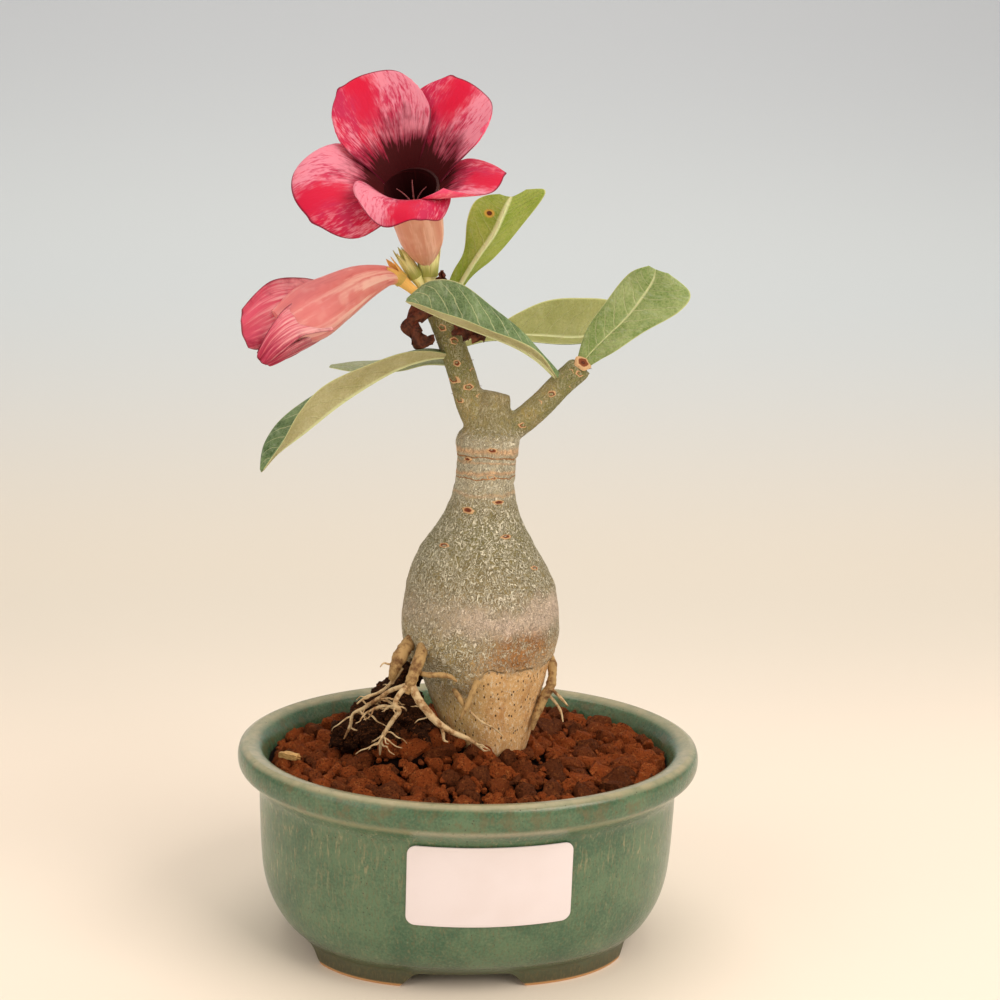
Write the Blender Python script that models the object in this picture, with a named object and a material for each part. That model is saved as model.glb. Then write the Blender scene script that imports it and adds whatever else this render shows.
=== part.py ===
"""A desert rose bonsai in its glazed oval pot.

Run with: blender --background --python part.py, or from the text editor.
Every size and place below is in millimetres. new_object turns them into metres. The origin is on
the floor under the middle of the pot, +X runs along the pot, +Y to its back and +Z up.
"""

import math
import random

import bmesh
import bpy
from mathutils import Vector, geometry, noise

UNIT = 0.001
GAP = 0.3
SOLVER = "MANIFOLD"
FLAT_MERGE = 1e-4
SHARP_ANGLE = math.radians(40.0)

# Pot: half length, height and squareness of each level of its outside, from the feet to the crest
POT_SIDES = 48
POT_NARROWER = 9.7
POT_OUTSIDE = (
    (50.3, 0.0, 2.5),
    (51.0, 4.6, 2.4),
    (57.0, 10.0, 2.15),
    (60.3, 15.5, 2.05),
    (62.2, 22.0, 2.0),
    (63.0, 31.0, 2.0),
    (63.4, 41.0, 2.0),
    (63.8, 48.0, 2.0),
    (66.2, 51.6, 2.0),
    (69.2, 54.6, 2.0),
    (70.0, 57.6, 2.0),
    (69.4, 60.6, 2.0),
    (67.6, 61.8, 2.0),
)
POT_INSIDE = (
    (62.6, 59.6, 2.0),
    (60.6, 54.0, 2.0),
    (59.6, 42.0, 2.0),
    (58.2, 24.0, 2.0),
    (53.4, 13.6, 2.1),
    (46.5, 9.8, 2.2),
)
FOOT_WIDTH = 6.2
FOOT_HEIGHT = 4.6
FOOT_FLARE = 4.6
FRONT_NOTCH = (-21.9, 14.8)
SIDE_NOTCH_HALF = 24.0
NOTCH_REACH = 80.0
DRAIN_RADIUS = 7.0
DRAIN_OFFSET = 24.0

# Drain meshes
MESH_SIDE = 21.0
MESH_THICKNESS = 1.0
MESH_CELLS = 5

# Label on the front of the pot
LABEL_LEFT = -21.0
LABEL_RIGHT = 25.0
LABEL_TOP = 48.3
LABEL_BOTTOM = 24.6
LABEL_CORNER = 2.4
LABEL_THICKNESS = 0.5
LABEL_COLUMNS = 10
LABEL_MIDDLE_ROWS = 3

# Soil: the fill's top, its heap round the trunk, and the granules that stand out of it
SOIL_HALF_LENGTH = 60.9
SOIL_LEVEL = 56.6
SOIL_MOUND = 6.0
MOUND_PLACE = (-3.0, -6.0)
MOUND_SPREAD = 23.0
GRANULES = 185
GRANULE_SIZES = (3.0, 5.2)
GRANULE_TRIES = 80
GRANULE_FACETS = 5
GRANULE_STEP = 0.66
HOLLOW_DEPTH = 1.7
SOIL_SEED = 7

# Wood chip
CHIP_PLACE = (-54.2, -10.0, 59.6)
CHIP_SIZE = (7.4, 2.6, 1.6)
CHIP_TAPER = 0.72
CHIP_RISE = 0.12
CHIP_TURN = math.radians(-50.0)

# Caudex: height, left, right, front and back of each level
CAUDEX_SIDES = 28
CAUDEX_LEVELS = (
    (32.0, 4.0, 9.0, -8.0, -2.0),
    (46.0, 1.0, 12.5, -12.5, 3.0),
    (56.0, -2.0, 15.5, -16.0, 8.0),
    (62.5, -4.5, 17.6, -17.6, 11.0),
    (69.0, -7.5, 19.6, -18.4, 14.5),
    (76.0, -10.8, 21.2, -19.0, 17.5),
    (83.0, -14.0, 22.6, -19.8, 19.5),
    (87.4, -17.0, 23.6, -20.6, 20.8),
    (89.4, -19.6, 25.0, -21.9, 21.8),
    (94.0, -21.2, 25.7, -23.1, 23.0),
    (99.0, -21.5, 25.9, -23.5, 23.4),
    (105.0, -21.0, 25.3, -22.9, 23.0),
    (110.5, -20.0, 24.1, -21.8, 21.8),
    (116.0, -18.5, 21.3, -19.8, 19.6),
    (121.6, -16.0, 18.1, -17.0, 16.9),
    (129.2, -10.7, 14.1, -12.6, 12.4),
    (137.0, -7.2, 11.8, -9.8, 9.6),
    (144.7, -6.2, 11.5, -9.0, 8.8),
    (150.4, -6.1, 12.0, -9.1, 9.0),
    (153.0, -6.5, 12.5, -9.5, 9.3),
    (155.4, -5.8, 12.1, -8.9, 8.7),
    (157.2, -4.3, 10.2, -7.2, 7.0),
    (161.6, -2.9, 9.4, -5.8, 5.6),
    (167.6, 0.4, 9.3, -4.6, 4.4),
)
STUB_SLANT = -0.19
BARK_RELIEF = 0.45
BARK_SCALE = 0.09

# Branches, roots and stems: x, y, z and radius of the points of their curves
BRANCH_SIDES = 12
LEFT_BRANCH = (
    (2.0, 0.0, 155.0, 4.2),
    (-2.2, 0.0, 163.5, 4.3),
    (-5.6, 0.0, 174.0, 4.1),
    (-9.8, 0.0, 185.0, 3.9),
    (-13.4, 0.0, 193.0, 3.8),
    (-15.8, -0.4, 197.4, 3.1),
)
RIGHT_BRANCH = (
    (5.0, 0.0, 154.4, 3.9),
    (10.6, 0.0, 157.4, 4.0),
    (18.2, -0.3, 164.0, 3.8),
    (24.0, -0.8, 170.4, 3.7),
    (28.9, -1.0, 175.0, 3.7),
    (29.9, -1.1, 176.1, 3.2),
)
LEFT_SCARS = ((169.4, 0.1), (172.6, -0.8), (174.8, 0.75), (177.0, -0.35), (183.4, 0.5), (187.2, -0.1))
RIGHT_SCARS = ((160.6, 0.7), (165.2, -0.55), (168.2, -0.1), (170.4, 0.75), (173.8, -0.45), (174.0, 0.4))
TRUNK_SCARS = ((134.0, -0.55), (123.8, -0.78), (128.4, 0.42), (117.3, 0.72), (138.5, 0.22), (151.6, -0.3))
SCAR_SIZE = (1.3, 0.75, 0.85)
TRUNK_SCAR_SIZE = (2.2, 0.8, 0.9)
SCAR_SINK = 0.4
BACK_SCAR_LIFT = 2.0
ROOT_SIDES = 6
ROOTS = (
    ((-8, -10, 97, 2.6), (-13, -15, 91.6, 2.5), (-16.6, -19.6, 86.4, 2.2), (-18.8, -22, 83, 2.1),
     (-19.2, -22.8, 81, 1.2)),
    ((-18, -21, 84, 1.2), (-14.4, -25.4, 79, 1.15), (-11, -28.2, 75.4, 1.05), (-4.6, -32, 71.6, 0.95),
     (1.6, -34.4, 67.6, 0.6)),
    ((-19, -22, 83.4, 1.2), (-22.8, -22.4, 77.6, 1.0), (-22.8, -26, 73.6, 0.9), (-27, -28.6, 69.6, 0.85),
     (-28.8, -30.6, 62.4, 0.7)),
    ((-18.6, -20.6, 83.6, 1.1), (-25.4, -20.6, 77.2, 0.95), (-32.5, -21, 73.4, 0.85),
     (-36.8, -23, 68.6, 0.75), (-38.4, -26.6, 61.6, 0.6)),
    ((-13, -3, 95, 3.0), (-18.6, -6.4, 90.2, 3.0), (-21.8, -6.8, 85.2, 2.6), (-23.2, -6, 79, 2.2),
     (-25.6, -5, 70, 1.7)),
    ((-12, -15, 86, 1.0), (-11.4, -20.6, 84.4, 1.0), (-6.4, -21.8, 83.2, 0.95), (-4.2, -21.6, 82.6, 0.7)),
    ((1.8, -17, 83.4, 1.1), (1, -20.2, 81.4, 1.15), (-0.6, -21.4, 77.6, 1.05), (-3.4, -22.8, 73.4, 0.9),
     (-5.4, -23.4, 66, 0.7)),
    ((20, -1, 91, 2.0), (22.2, -4, 86.6, 2.0), (22.9, -6.4, 79, 1.9), (20.1, -10, 72, 1.8),
     (18.6, -12.6, 64, 1.5), (18.2, -13, 56, 1.2)),
    ((8, 15, 93, 2.6), (13, 21.4, 87.6, 2.4), (16.4, 25.6, 79.4, 2.0), (17.6, 29.8, 69.4, 1.6),
     (17, 32.6, 60, 1.1), (17, 33, 54, 0.8)),
    ((14.6, 24, 82, 1.2), (10, 27.6, 76, 1.0), (5, 29.4, 69, 0.9), (1.4, 31.4, 60, 0.7)),
    ((-13, 12, 90, 2.0), (-17, 17, 84.6, 1.8), (-19.6, 20, 77, 1.5), (-20, 23, 66, 1.1),
     (-20.4, 24.6, 56, 0.8)),
)

# Peat caught between the roots: x, y, z and radius of its lumps
PEAT_LUMPS = (
    (-20.0, 4.0, 80.0, 5.6), (-25.0, 0.0, 74.6, 6.4), (-19.6, -8.0, 72.0, 7.0), (-14.6, -14.0, 66.0, 6.0),
    (-32.0, 1.0, 67.6, 6.4), (-27.0, -9.0, 66.0, 6.6), (-20.6, -14.6, 62.6, 5.4), (-37.0, -3.0, 62.6, 5.6),
    (-23.6, 9.0, 70.0, 6.0), (-20.0, -2.0, 64.0, 9.0),
)
PEAT_JITTER = 0.16

# Leaves: rows of middle, near edge and far edge, from the stalk to the tip
LEAF_ROWS = 10
LEAF_HALF_COLUMNS = 3
LEAF_THICKNESS = (0.85, 0.65)
LEAF_RIB = 0.75
LEAF_WAVE = 0.35
WAVE_TURN = 13.0
THINNING = 1.6
RIB_FADE = 0.75
LEAVES = {
    "leaf_top": (
        ((-12.4, 0.2, 187.6), (-13.2, 0.6, 188.0), (-11.4, 0.6, 187.4)),
        ((-6.0, 1.0, 199.5), (-9.0, 2.5, 201.0), (-4.0, 4.0, 199.5)),
        ((-1.5, 1.0, 207.0), (-5.5, 3.5, 208.0), (3.5, 6.0, 206.5)),
        ((3.0, 1.5, 213.5), (-4.5, 5.0, 217.0), (11.0, 8.5, 214.5)),
        ((6.0, 3.0, 220.0), (-2.5, 6.0, 222.5), (17.5, 9.0, 223.5)),
        ((7.5, 4.5, 223.0), (0.5, 6.5, 224.5), (18.5, 9.0, 227.0)),
        ((8.4, 5.6, 224.4), (5.0, 6.5, 225.2), (13.0, 8.0, 226.8)),
    ),
    "leaf_right": (
        ((28.6, -1.6, 174.6), (28.0, -1.6, 175.4), (29.6, -1.6, 174.2)),
        ((32.0, -2.0, 179.5), (29.5, -1.0, 182.0), (35.0, -3.0, 178.0)),
        ((36.5, -3.0, 184.5), (31.5, -1.5, 188.0), (40.0, -6.0, 181.5)),
        ((42.5, -4.5, 191.0), (36.5, -2.5, 195.5), (47.0, -8.0, 187.0)),
        ((47.0, -6.0, 198.0), (40.5, -4.0, 201.5), (56.5, -10.0, 193.0)),
        ((49.0, -7.0, 202.0), (43.5, -6.0, 204.5), (59.5, -10.0, 198.5)),
        ((49.5, -7.5, 205.0), (47.5, -7.5, 206.0), (53.0, -9.0, 204.0)),
    ),
    "leaf_front": (
        ((24.2, -1.6, 171.2), (23.6, -2.2, 171.2), (25.2, -0.8, 171.8)),
        ((17.5, -6.5, 177.5), (17.0, -9.0, 179.5), (19.0, -3.5, 178.5)),
        ((10.0, -11.0, 182.0), (8.5, -15.5, 184.5), (12.0, -6.0, 185.5)),
        ((1.0, -15.5, 185.5), (-1.5, -22.0, 188.0), (3.5, -9.0, 192.5)),
        ((-9.0, -20.0, 189.0), (-11.0, -27.5, 191.5), (-7.0, -13.0, 199.5)),
        ((-17.5, -24.0, 192.5), (-18.5, -29.0, 194.0), (-16.0, -18.0, 200.5)),
        ((-23.2, -26.2, 195.0), (-23.5, -26.8, 195.0), (-23.0, -25.4, 195.8)),
    ),
    "leaf_back": (
        ((-7.2, 0.6, 181.0), (-7.4, 0.8, 182.0), (-7.0, 0.4, 180.0)),
        ((2.0, 7.0, 183.5), (2.5, 8.5, 184.5), (2.5, 4.5, 182.5)),
        ((11.5, 12.0, 183.5), (12.0, 15.0, 190.0), (11.0, 6.0, 182.5)),
        ((21.5, 16.5, 183.0), (22.0, 19.5, 194.0), (20.5, 9.0, 182.0)),
        ((31.5, 21.0, 182.5), (33.0, 24.0, 194.8), (30.5, 13.0, 181.5)),
        ((42.0, 25.5, 184.0), (43.0, 27.5, 194.0), (41.0, 20.0, 182.5)),
        ((49.0, 29.0, 188.0), (48.8, 29.0, 189.0), (48.8, 28.0, 187.0)),
    ),
    "leaf_left": (
        ((-7.8, -0.4, 178.2), (-7.8, -1.2, 178.4), (-7.8, 0.4, 179.0)),
        ((-16.0, -4.0, 177.5), (-17.0, -8.0, 180.0), (-17.0, 0.5, 180.0)),
        ((-26.0, -7.5, 174.0), (-28.0, -15.0, 178.5), (-29.0, 1.0, 176.0)),
        ((-39.5, -13.5, 166.0), (-43.5, -21.0, 172.0), (-44.5, -3.0, 169.0)),
        ((-51.0, -17.5, 157.0), (-52.0, -23.0, 163.5), (-56.0, -8.0, 161.0)),
        ((-58.0, -19.5, 151.5), (-57.0, -23.0, 154.5), (-62.0, -13.0, 153.5)),
        ((-62.5, -21.0, 146.2), (-62.0, -21.4, 146.8), (-62.9, -20.4, 147.0)),
    ),
    "leaf_small": (
        ((-6.6, 0.6, 175.6), (-6.6, 0.0, 175.2), (-6.8, 1.4, 176.2)),
        ((-14.5, 5.5, 176.3), (-15.0, 2.5, 175.0), (-15.0, 8.5, 177.0)),
        ((-23.0, 10.0, 174.8), (-23.5, 4.5, 173.0), (-22.5, 15.0, 176.0)),
        ((-32.5, 14.5, 173.3), (-33.0, 8.0, 172.0), (-31.5, 19.0, 174.5)),
        ((-40.0, 18.5, 172.6), (-40.0, 14.5, 172.0), (-39.0, 21.0, 173.5)),
        ((-44.0, 20.0, 172.4), (-44.0, 19.4, 172.2), (-43.6, 20.6, 172.9)),
    ),
}

# Open bloom
THROAT = (-22.4, -20.0, 226.4)
BLOOM_AXIS = (-0.10, -0.669, 0.743)
COROLLA_SIDES = 15
COROLLA_STATIONS = 10
COROLLA_WALL = 0.8
COROLLA_TUBE = (
    (-15.6, -0.5, 201.6, 1.5),
    (-16.4, -1.7, 205.4, 2.0),
    (-17.2, -3.4, 208.8, 3.5),
    (-18.0, -5.8, 211.8, 5.5),
    (-19.3, -9.7, 216.2, 7.0),
    (-20.9, -14.8, 221.2, 7.5),
    (-22.3, -19.3, 225.7, 8.3),
)
PETAL_ROWS = 7
PETAL_COLUMNS = 6
PETAL_THICKNESS = 0.8
PETAL_START = 7.9
PETAL_REACH = 31.0
PETAL_SPREAD = (41, 43, 44, 43, 38, 30, 19, 3)
PETAL_TWIST = 1.2
PETAL_DIP = 1.2
PETAL_RIPPLE = 0.7
PETAL_ROUNDING = 0.14
FUNNEL_HEIGHT = 20.0
FUNNEL_EASE = 14.0
PETALS = (
    (50.0, 1.05, 0.0, 0.97, 0.0),
    (116.0, 1.10, 0.0, 0.98, 0.0),
    (205.0, 0.72, -5.0, 1.08, 2.0),
    (262.0, 1.05, -6.0, 0.95, 0.0),
    (332.0, 0.74, 0.0, 0.90, 4.0),
)
ANTHER_STATION = 6
ANTHER_LENGTH = 9.0
ANTHER_OUTLINE = ((0.0, 0.55), (0.3, 1.0), (0.7, 0.62), (1.0, 0.18))
ANTHER_LOBES = 5
ANTHER_RADIUS = 2.6
FILAMENT_RADIUS = 0.4
FILAMENT_STATIONS = ((3.0, 0.2), (0.6, 0.6), (-1.2, 1.0))

# Calyxes: the curve of each stem, then radius, length, half width and splay of its lobes
SEPAL_THICKNESS = 0.6
CUP_DEPTH = 0.8
STEM_STATIONS = 5
SEPAL_OUTLINE = ((0.35, 1.0), (0.7, 0.72), (1.0, 0.16))
OPEN_STEM = ((-15.2, -0.3, 195.6, 1.5), (-15.2, -0.2, 198.0, 1.6), (-15.5, -0.4, 201.4, 2.3))
OPEN_SEPALS = (2.6, 7.8, 1.5, 1.45)
FADED_STEM = ((-17.0, -1.4, 194.6, 1.3), (-20.6, -2.6, 197.4, 1.4), (-23.6, -3.7, 199.8, 1.9))
FADED_SEPALS = (2.2, 6.6, 1.3, 1.5)
SPENT_STEM = ((-16.2, -0.2, 194.6, 1.2), (-17.8, -0.7, 198.4, 1.3), (-19.6, -1.5, 201.2, 1.9))
SPENT_SEPALS = (2.2, 8.2, 1.05, 0.95)
SEPAL_COUNT = 5

# Wilted bloom: its tube, then rows of middle and both edges of its folded petals
FADED_SIDES = 12
FADED_STATIONS = 12
FADED_TUBE = (
    (-24.6, -4.2, 200.4, 1.8),
    (-28.6, -6.0, 200.8, 3.2),
    (-35.5, -9.0, 198.6, 5.4),
    (-42.6, -12.4, 194.6, 7.0),
    (-50.0, -16.0, 190.2, 8.0),
    (-57.5, -18.8, 186.4, 5.2),
)
FADED_PETALS = (
    (
        ((-44, -12, 193), (-43, -10, 198.6), (-44, -16, 188)),
        ((-54, -16, 193), (-52, -12, 200), (-54, -21, 186)),
        ((-62, -19, 190), (-60.5, -14, 199), (-62, -22.5, 181)),
        ((-68, -22, 186), (-68, -19, 191), (-66, -23, 181)),
    ),
    (
        ((-44, -19, 189), (-45, -16, 193.5), (-43, -20, 186)),
        ((-53, -24, 188), (-52, -20.5, 194.5), (-50.5, -24.5, 185)),
        ((-59, -26, 184), (-58, -24.5, 190), (-57, -26, 180)),
        ((-63, -26, 178), (-63.6, -25.5, 180), (-61, -26, 176.6)),
    ),
    (
        ((-43, -15, 186), (-44, -19, 187), (-43, -11, 186)),
        ((-50, -18, 182), (-51, -22, 184), (-49, -12, 181.5)),
        ((-57, -20, 178.5), (-57, -24, 180), (-56, -15, 177.5)),
        ((-61, -21, 176.5), (-61, -23, 177), (-60, -18, 176)),
    ),
    (
        ((-43, -8, 193), (-43, -8, 197), (-43, -9, 188)),
        ((-52, -8, 192), (-51, -9, 198), (-52, -8, 184)),
        ((-60, -11, 188), (-60, -12, 195), (-59, -11, 180)),
        ((-65, -15, 184), (-66, -16, 187), (-64, -15, 181)),
    ),
)

# Dry bracts: rows of middle and both edges
BRACTS = {
    "dry_bract_left": (
        ((-13.4, -2.4, 191.2), (-13.2, -2.6, 192.6), (-13.6, -2.2, 190.0)),
        ((-18.0, -6.0, 191.0), (-18.4, -5.4, 192.6), (-17.4, -6.2, 189.6)),
        ((-20.6, -7.2, 188.0), (-22.2, -7.0, 188.6), (-19.2, -7.6, 187.4)),
        ((-19.6, -7.6, 184.6), (-21.2, -7.2, 184.4), (-18.2, -8.2, 184.8)),
        ((-17.2, -7.2, 182.2), (-18.2, -6.8, 181.0), (-16.6, -7.6, 183.4)),
        ((-13.8, -5.6, 183.0), (-14.0, -5.4, 182.2), (-13.8, -5.8, 183.8)),
    ),
    "dry_bract_right": (
        ((-8.8, -2.4, 187.6), (-8.8, -2.2, 189.0), (-9.0, -2.6, 186.4)),
        ((-5.2, -5.0, 186.6), (-4.6, -4.4, 188.4), (-5.8, -5.4, 184.8)),
        ((-1.8, -6.0, 185.2), (-1.0, -5.4, 186.8), (-2.6, -6.4, 183.8)),
        ((1.0, -5.4, 183.8), (1.3, -5.2, 184.6), (0.7, -5.6, 183.2)),
    ),
    "small_bract": (
        ((-12.8, -3.0, 197.6), (-13.6, -3.0, 197.6), (-12.0, -3.0, 197.6)),
        ((-12.2, -4.2, 199.6), (-13.2, -4.0, 199.6), (-11.4, -4.0, 199.6)),
        ((-12.0, -4.2, 201.4), (-12.7, -4.2, 201.4), (-11.4, -4.2, 201.4)),
        ((-12.1, -4.0, 203.0), (-12.3, -4.0, 203.0), (-11.9, -4.0, 203.0)),
    ),
}

# Colours and finishes: red, green, blue, roughness and metallic
FINISHES = {
    "glaze": (0.11, 0.24, 0.17, 0.2, 0.0),
    "paper": (0.82, 0.76, 0.73, 0.5, 0.0),
    "granules": (0.17, 0.05, 0.02, 0.95, 0.0),
    "peat": (0.02, 0.012, 0.008, 1.0, 0.0),
    "plastic": (0.02, 0.02, 0.02, 0.5, 0.0),
    "wood": (0.62, 0.42, 0.2, 0.8, 0.0),
    "bark": (0.33, 0.31, 0.22, 0.75, 0.0),
    "leaf": (0.12, 0.2, 0.06, 0.45, 0.0),
    "petal": (0.66, 0.03, 0.09, 0.5, 0.0),
    "faded_petal": (0.62, 0.13, 0.15, 0.55, 0.0),
    "calyx": (0.42, 0.44, 0.1, 0.55, 0.0),
    "anther": (0.75, 0.55, 0.12, 0.6, 0.0),
    "dry": (0.1, 0.03, 0.02, 0.8, 0.0),
}


def clear_objects():
    """Empty the scene."""
    for thing in list(bpy.data.objects):
        bpy.data.objects.remove(thing, do_unlink=True)


def finish(name):
    """The material of one finish, made once."""
    known = bpy.data.materials.get(name)
    if known:
        return known
    red, green, blue, roughness, metallic = FINISHES[name]
    material = bpy.data.materials.new(name)
    material.use_nodes = True
    shader = material.node_tree.nodes["Principled BSDF"]
    shader.inputs["Base Color"].default_value = (red, green, blue, 1.0)
    shader.inputs["Roughness"].default_value = roughness
    shader.inputs["Metallic"].default_value = metallic
    return material


def new_object(name, form, look):
    """An object of a closed form drawn in millimetres, with its faces pointing out."""
    bmesh.ops.recalc_face_normals(form, faces=form.faces)
    if form.calc_volume(signed=True) < 0.0:
        bmesh.ops.reverse_faces(form, faces=form.faces)
    bmesh.ops.scale(form, vec=(UNIT, UNIT, UNIT), verts=form.verts)
    mesh = bpy.data.meshes.new(name)
    form.to_mesh(mesh)
    form.free()
    mesh.materials.append(finish(look))
    mesh.shade_smooth()
    mesh.set_sharp_from_angle(angle=SHARP_ANGLE)
    thing = bpy.data.objects.new(name, mesh)
    bpy.context.collection.objects.link(thing)
    return thing


def smooth(points, count):
    """Evenly spread values of the smooth curve through points of any number of parts."""
    spans = len(points) - 1
    rows = []
    for index in range(count):
        place = spans * index / (count - 1)
        span = min(int(place), spans - 1)
        t = place - span
        before = points[max(span - 1, 0)]
        start = points[span]
        end = points[span + 1]
        after = points[min(span + 2, spans)]
        row = []
        for a, b, c, d in zip(before, start, end, after):
            row.append(0.5 * (2 * b + (c - a) * t + (2 * a - 5 * b + 4 * c - d) * t * t
                              + (3 * b - a - 3 * c + d) * t ** 3))
        rows.append(tuple(row))
    return rows


def skin(form, rings, close_start=True, close_end=True):
    """Faces between rings of equally many vertices, with their ends closed."""
    for lower, upper in zip(rings, rings[1:]):
        count = len(lower)
        for side in range(count):
            following = (side + 1) % count
            form.faces.new((lower[side], lower[following], upper[following], upper[side]))
    if close_start:
        form.faces.new(rings[0])
    if close_end:
        form.faces.new(rings[-1])


def frames(centres):
    """Two square directions at each point of a curve, carried along it without twist."""
    result = []
    across = None
    for index, centre in enumerate(centres):
        ahead = centres[min(index + 1, len(centres) - 1)] - centres[max(index - 1, 0)]
        ahead.normalize()
        if across is None:
            across = ahead.orthogonal()
        across = (across - ahead * across.dot(ahead)).normalized()
        result.append((across, ahead.cross(across)))
    return result


def round_rings(form, stations, sides):
    """Rings of vertices round stations of x, y, z and radius."""
    centres = [Vector(station[:3]) for station in stations]
    rings = []
    for centre, station, (across, upward) in zip(centres, stations, frames(centres)):
        ring = []
        for side in range(sides):
            angle = math.tau * side / sides
            ring.append(form.verts.new(centre + station[3] * (across * math.cos(angle)
                                                              + upward * math.sin(angle))))
        rings.append(ring)
    return rings


def round_bar(name, points, count, sides, look, grow=0.0):
    """A closed round bar along the curve through points of x, y, z and radius."""
    form = bmesh.new()
    stations = [(x, y, z, radius + grow) for x, y, z, radius in smooth(points, count)]
    skin(form, round_rings(form, stations, sides))
    return new_object(name, form, look)


def lump(name, place, size, look, jitter=0.0, seed=0, turn=None):
    """A ball of few faces, stretched to a size on X, Y and Z, with its corners moved by a seeded draw."""
    draw = random.Random(seed)
    form = bmesh.new()
    bmesh.ops.create_icosphere(form, subdivisions=1, radius=1.0)
    for corner in form.verts:
        corner.co *= 1.0 + jitter * draw.uniform(-1.0, 1.0)
        corner.co = Vector((corner.co.x * size[0], corner.co.y * size[1], corner.co.z * size[2]))
        if turn:
            corner.co.rotate(turn)
        corner.co += Vector(place)
    return new_object(name, form, look)


def blade(name, rows, half_columns, thickness, rib, wave, look, count):
    """A closed blade through rows of middle, near edge and far edge, from stalk to tip.

    thickness holds its value at the stalk and at the tip, rib what the middle adds on the far face,
    and wave how far the edges swing up and down.
    """
    flat_rows = [[value for point in row for value in point] for row in rows]
    grid = []
    for row_index, values in enumerate(smooth(flat_rows, count)):
        middle = Vector(values[0:3])
        near = Vector(values[3:6])
        far = Vector(values[6:9])
        row = []
        for column in range(-half_columns, half_columns + 1):
            edge = near if column < 0 else far
            share = abs(column) / half_columns
            point = middle.lerp(edge, share)
            row.append(point)
        grid.append(row)
    form = bmesh.new()
    tops = []
    bottoms = []
    last_row = len(grid) - 1
    last_column = 2 * half_columns
    for i, row in enumerate(grid):
        along_share = i / last_row
        top = []
        bottom = []
        for j, point in enumerate(row):
            ahead = grid[min(i + 1, last_row)][j] - grid[max(i - 1, 0)][j]
            across = row[min(j + 1, last_column)] - row[max(j - 1, 0)]
            normal = across.cross(ahead).normalized()
            edge_share = abs(j - half_columns) / half_columns
            swing = wave * edge_share ** 2 * math.sin(math.pi * along_share)
            swing *= math.sin(along_share * WAVE_TURN + j)
            half = 0.5 * (thickness[0] + (thickness[1] - thickness[0]) * min(along_share * THINNING, 1.0))
            extra = rib * (1.0 - edge_share) ** 2 * (1.0 - RIB_FADE * along_share)
            top.append(form.verts.new(point + normal * (half + swing)))
            bottom.append(form.verts.new(point - normal * (half + extra - swing)))
        tops.append(top)
        bottoms.append(bottom)
    close_sheet(form, tops, bottoms)
    return new_object(name, form, look)


def close_sheet(form, tops, bottoms):
    """Faces of a thin closed sheet, split into triangles alike on both sides."""
    last_row = len(tops) - 1
    last_column = len(tops[0]) - 1
    for i in range(last_row):
        for j in range(last_column):
            for side, order in ((tops, 1), (bottoms, -1)):
                a, b = side[i][j], side[i + 1][j]
                c, d = side[i + 1][j + 1], side[i][j + 1]
                if j * 2 < last_column:
                    triangles = ((a, b, c), (a, c, d))
                else:
                    triangles = ((a, b, d), (b, c, d))
                for triangle in triangles:
                    form.faces.new(triangle[::order])
    rim = [(0, j) for j in range(last_column)]
    rim += [(i, last_column) for i in range(last_row)]
    rim += [(last_row, j) for j in range(last_column, 0, -1)]
    rim += [(i, 0) for i in range(last_row, 0, -1)]
    for (i, j), (k, m) in zip(rim, rim[1:] + rim[:1]):
        form.faces.new((tops[i][j], tops[k][m], bottoms[k][m], bottoms[i][j]))


def settle(thing):
    """Apply an object's modifiers."""
    graph = bpy.context.evaluated_depsgraph_get()
    settled = bpy.data.meshes.new_from_object(thing.evaluated_get(graph))
    thing.modifiers.clear()
    thing.data = settled


def keep_largest(thing):
    """Drop every loose scrap of a mesh but its largest body."""
    form = bmesh.new()
    form.from_mesh(thing.data)
    unseen = set(form.verts)
    bodies = []
    while unseen:
        body = {unseen.pop()}
        edge_of_body = list(body)
        while edge_of_body:
            corner = edge_of_body.pop()
            for edge in corner.link_edges:
                other = edge.other_vert(corner)
                if other in unseen:
                    unseen.remove(other)
                    body.add(other)
                    edge_of_body.append(other)
        bodies.append(body)
    largest = max(bodies, key=spread)
    scraps = [corner for body in bodies if body is not largest for corner in body]
    bmesh.ops.delete(form, geom=scraps, context="VERTS")
    form.to_mesh(thing.data)
    form.free()


def spread(body):
    """The diagonal of the box round a set of vertices."""
    lowest = [min(corner.co[axis] for corner in body) for axis in range(3)]
    highest = [max(corner.co[axis] for corner in body) for axis in range(3)]
    return math.dist(lowest, highest)


def fuse(name, parts):
    """Join overlapping closed parts in one body of the given name."""
    whole = parts[0]
    gathered = bpy.data.collections.new(name + "_parts")
    for part in parts[1:]:
        gathered.objects.link(part)
    union = whole.modifiers.new("union", "BOOLEAN")
    union.operation = "UNION"
    union.operand_type = "COLLECTION"
    union.collection = gathered
    union.solver = SOLVER
    settle(whole)
    for part in parts[1:]:
        bpy.data.objects.remove(part, do_unlink=True)
    bpy.data.collections.remove(gathered)
    keep_largest(whole)
    whole.name = name
    return whole


def cut(thing, cutter):
    """Take a cutter's form out of a body."""
    opening = thing.modifiers.new("cut", "BOOLEAN")
    opening.operation = "DIFFERENCE"
    opening.object = cutter
    opening.solver = SOLVER
    settle(thing)
    keep_largest(thing)


def oval_ring(form, half_length, height, squareness):
    """A ring of the pot's oval at one height."""
    half_width = half_length - POT_NARROWER * min(1.0, half_length / 50.0)
    ring = []
    for side in range(POT_SIDES):
        angle = math.tau * side / POT_SIDES
        x = math.copysign(abs(math.cos(angle)) ** (2.0 / squareness), math.cos(angle))
        y = math.copysign(abs(math.sin(angle)) ** (2.0 / squareness), math.sin(angle))
        ring.append(form.verts.new((half_length * x, half_width * y, height)))
    return ring


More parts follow.
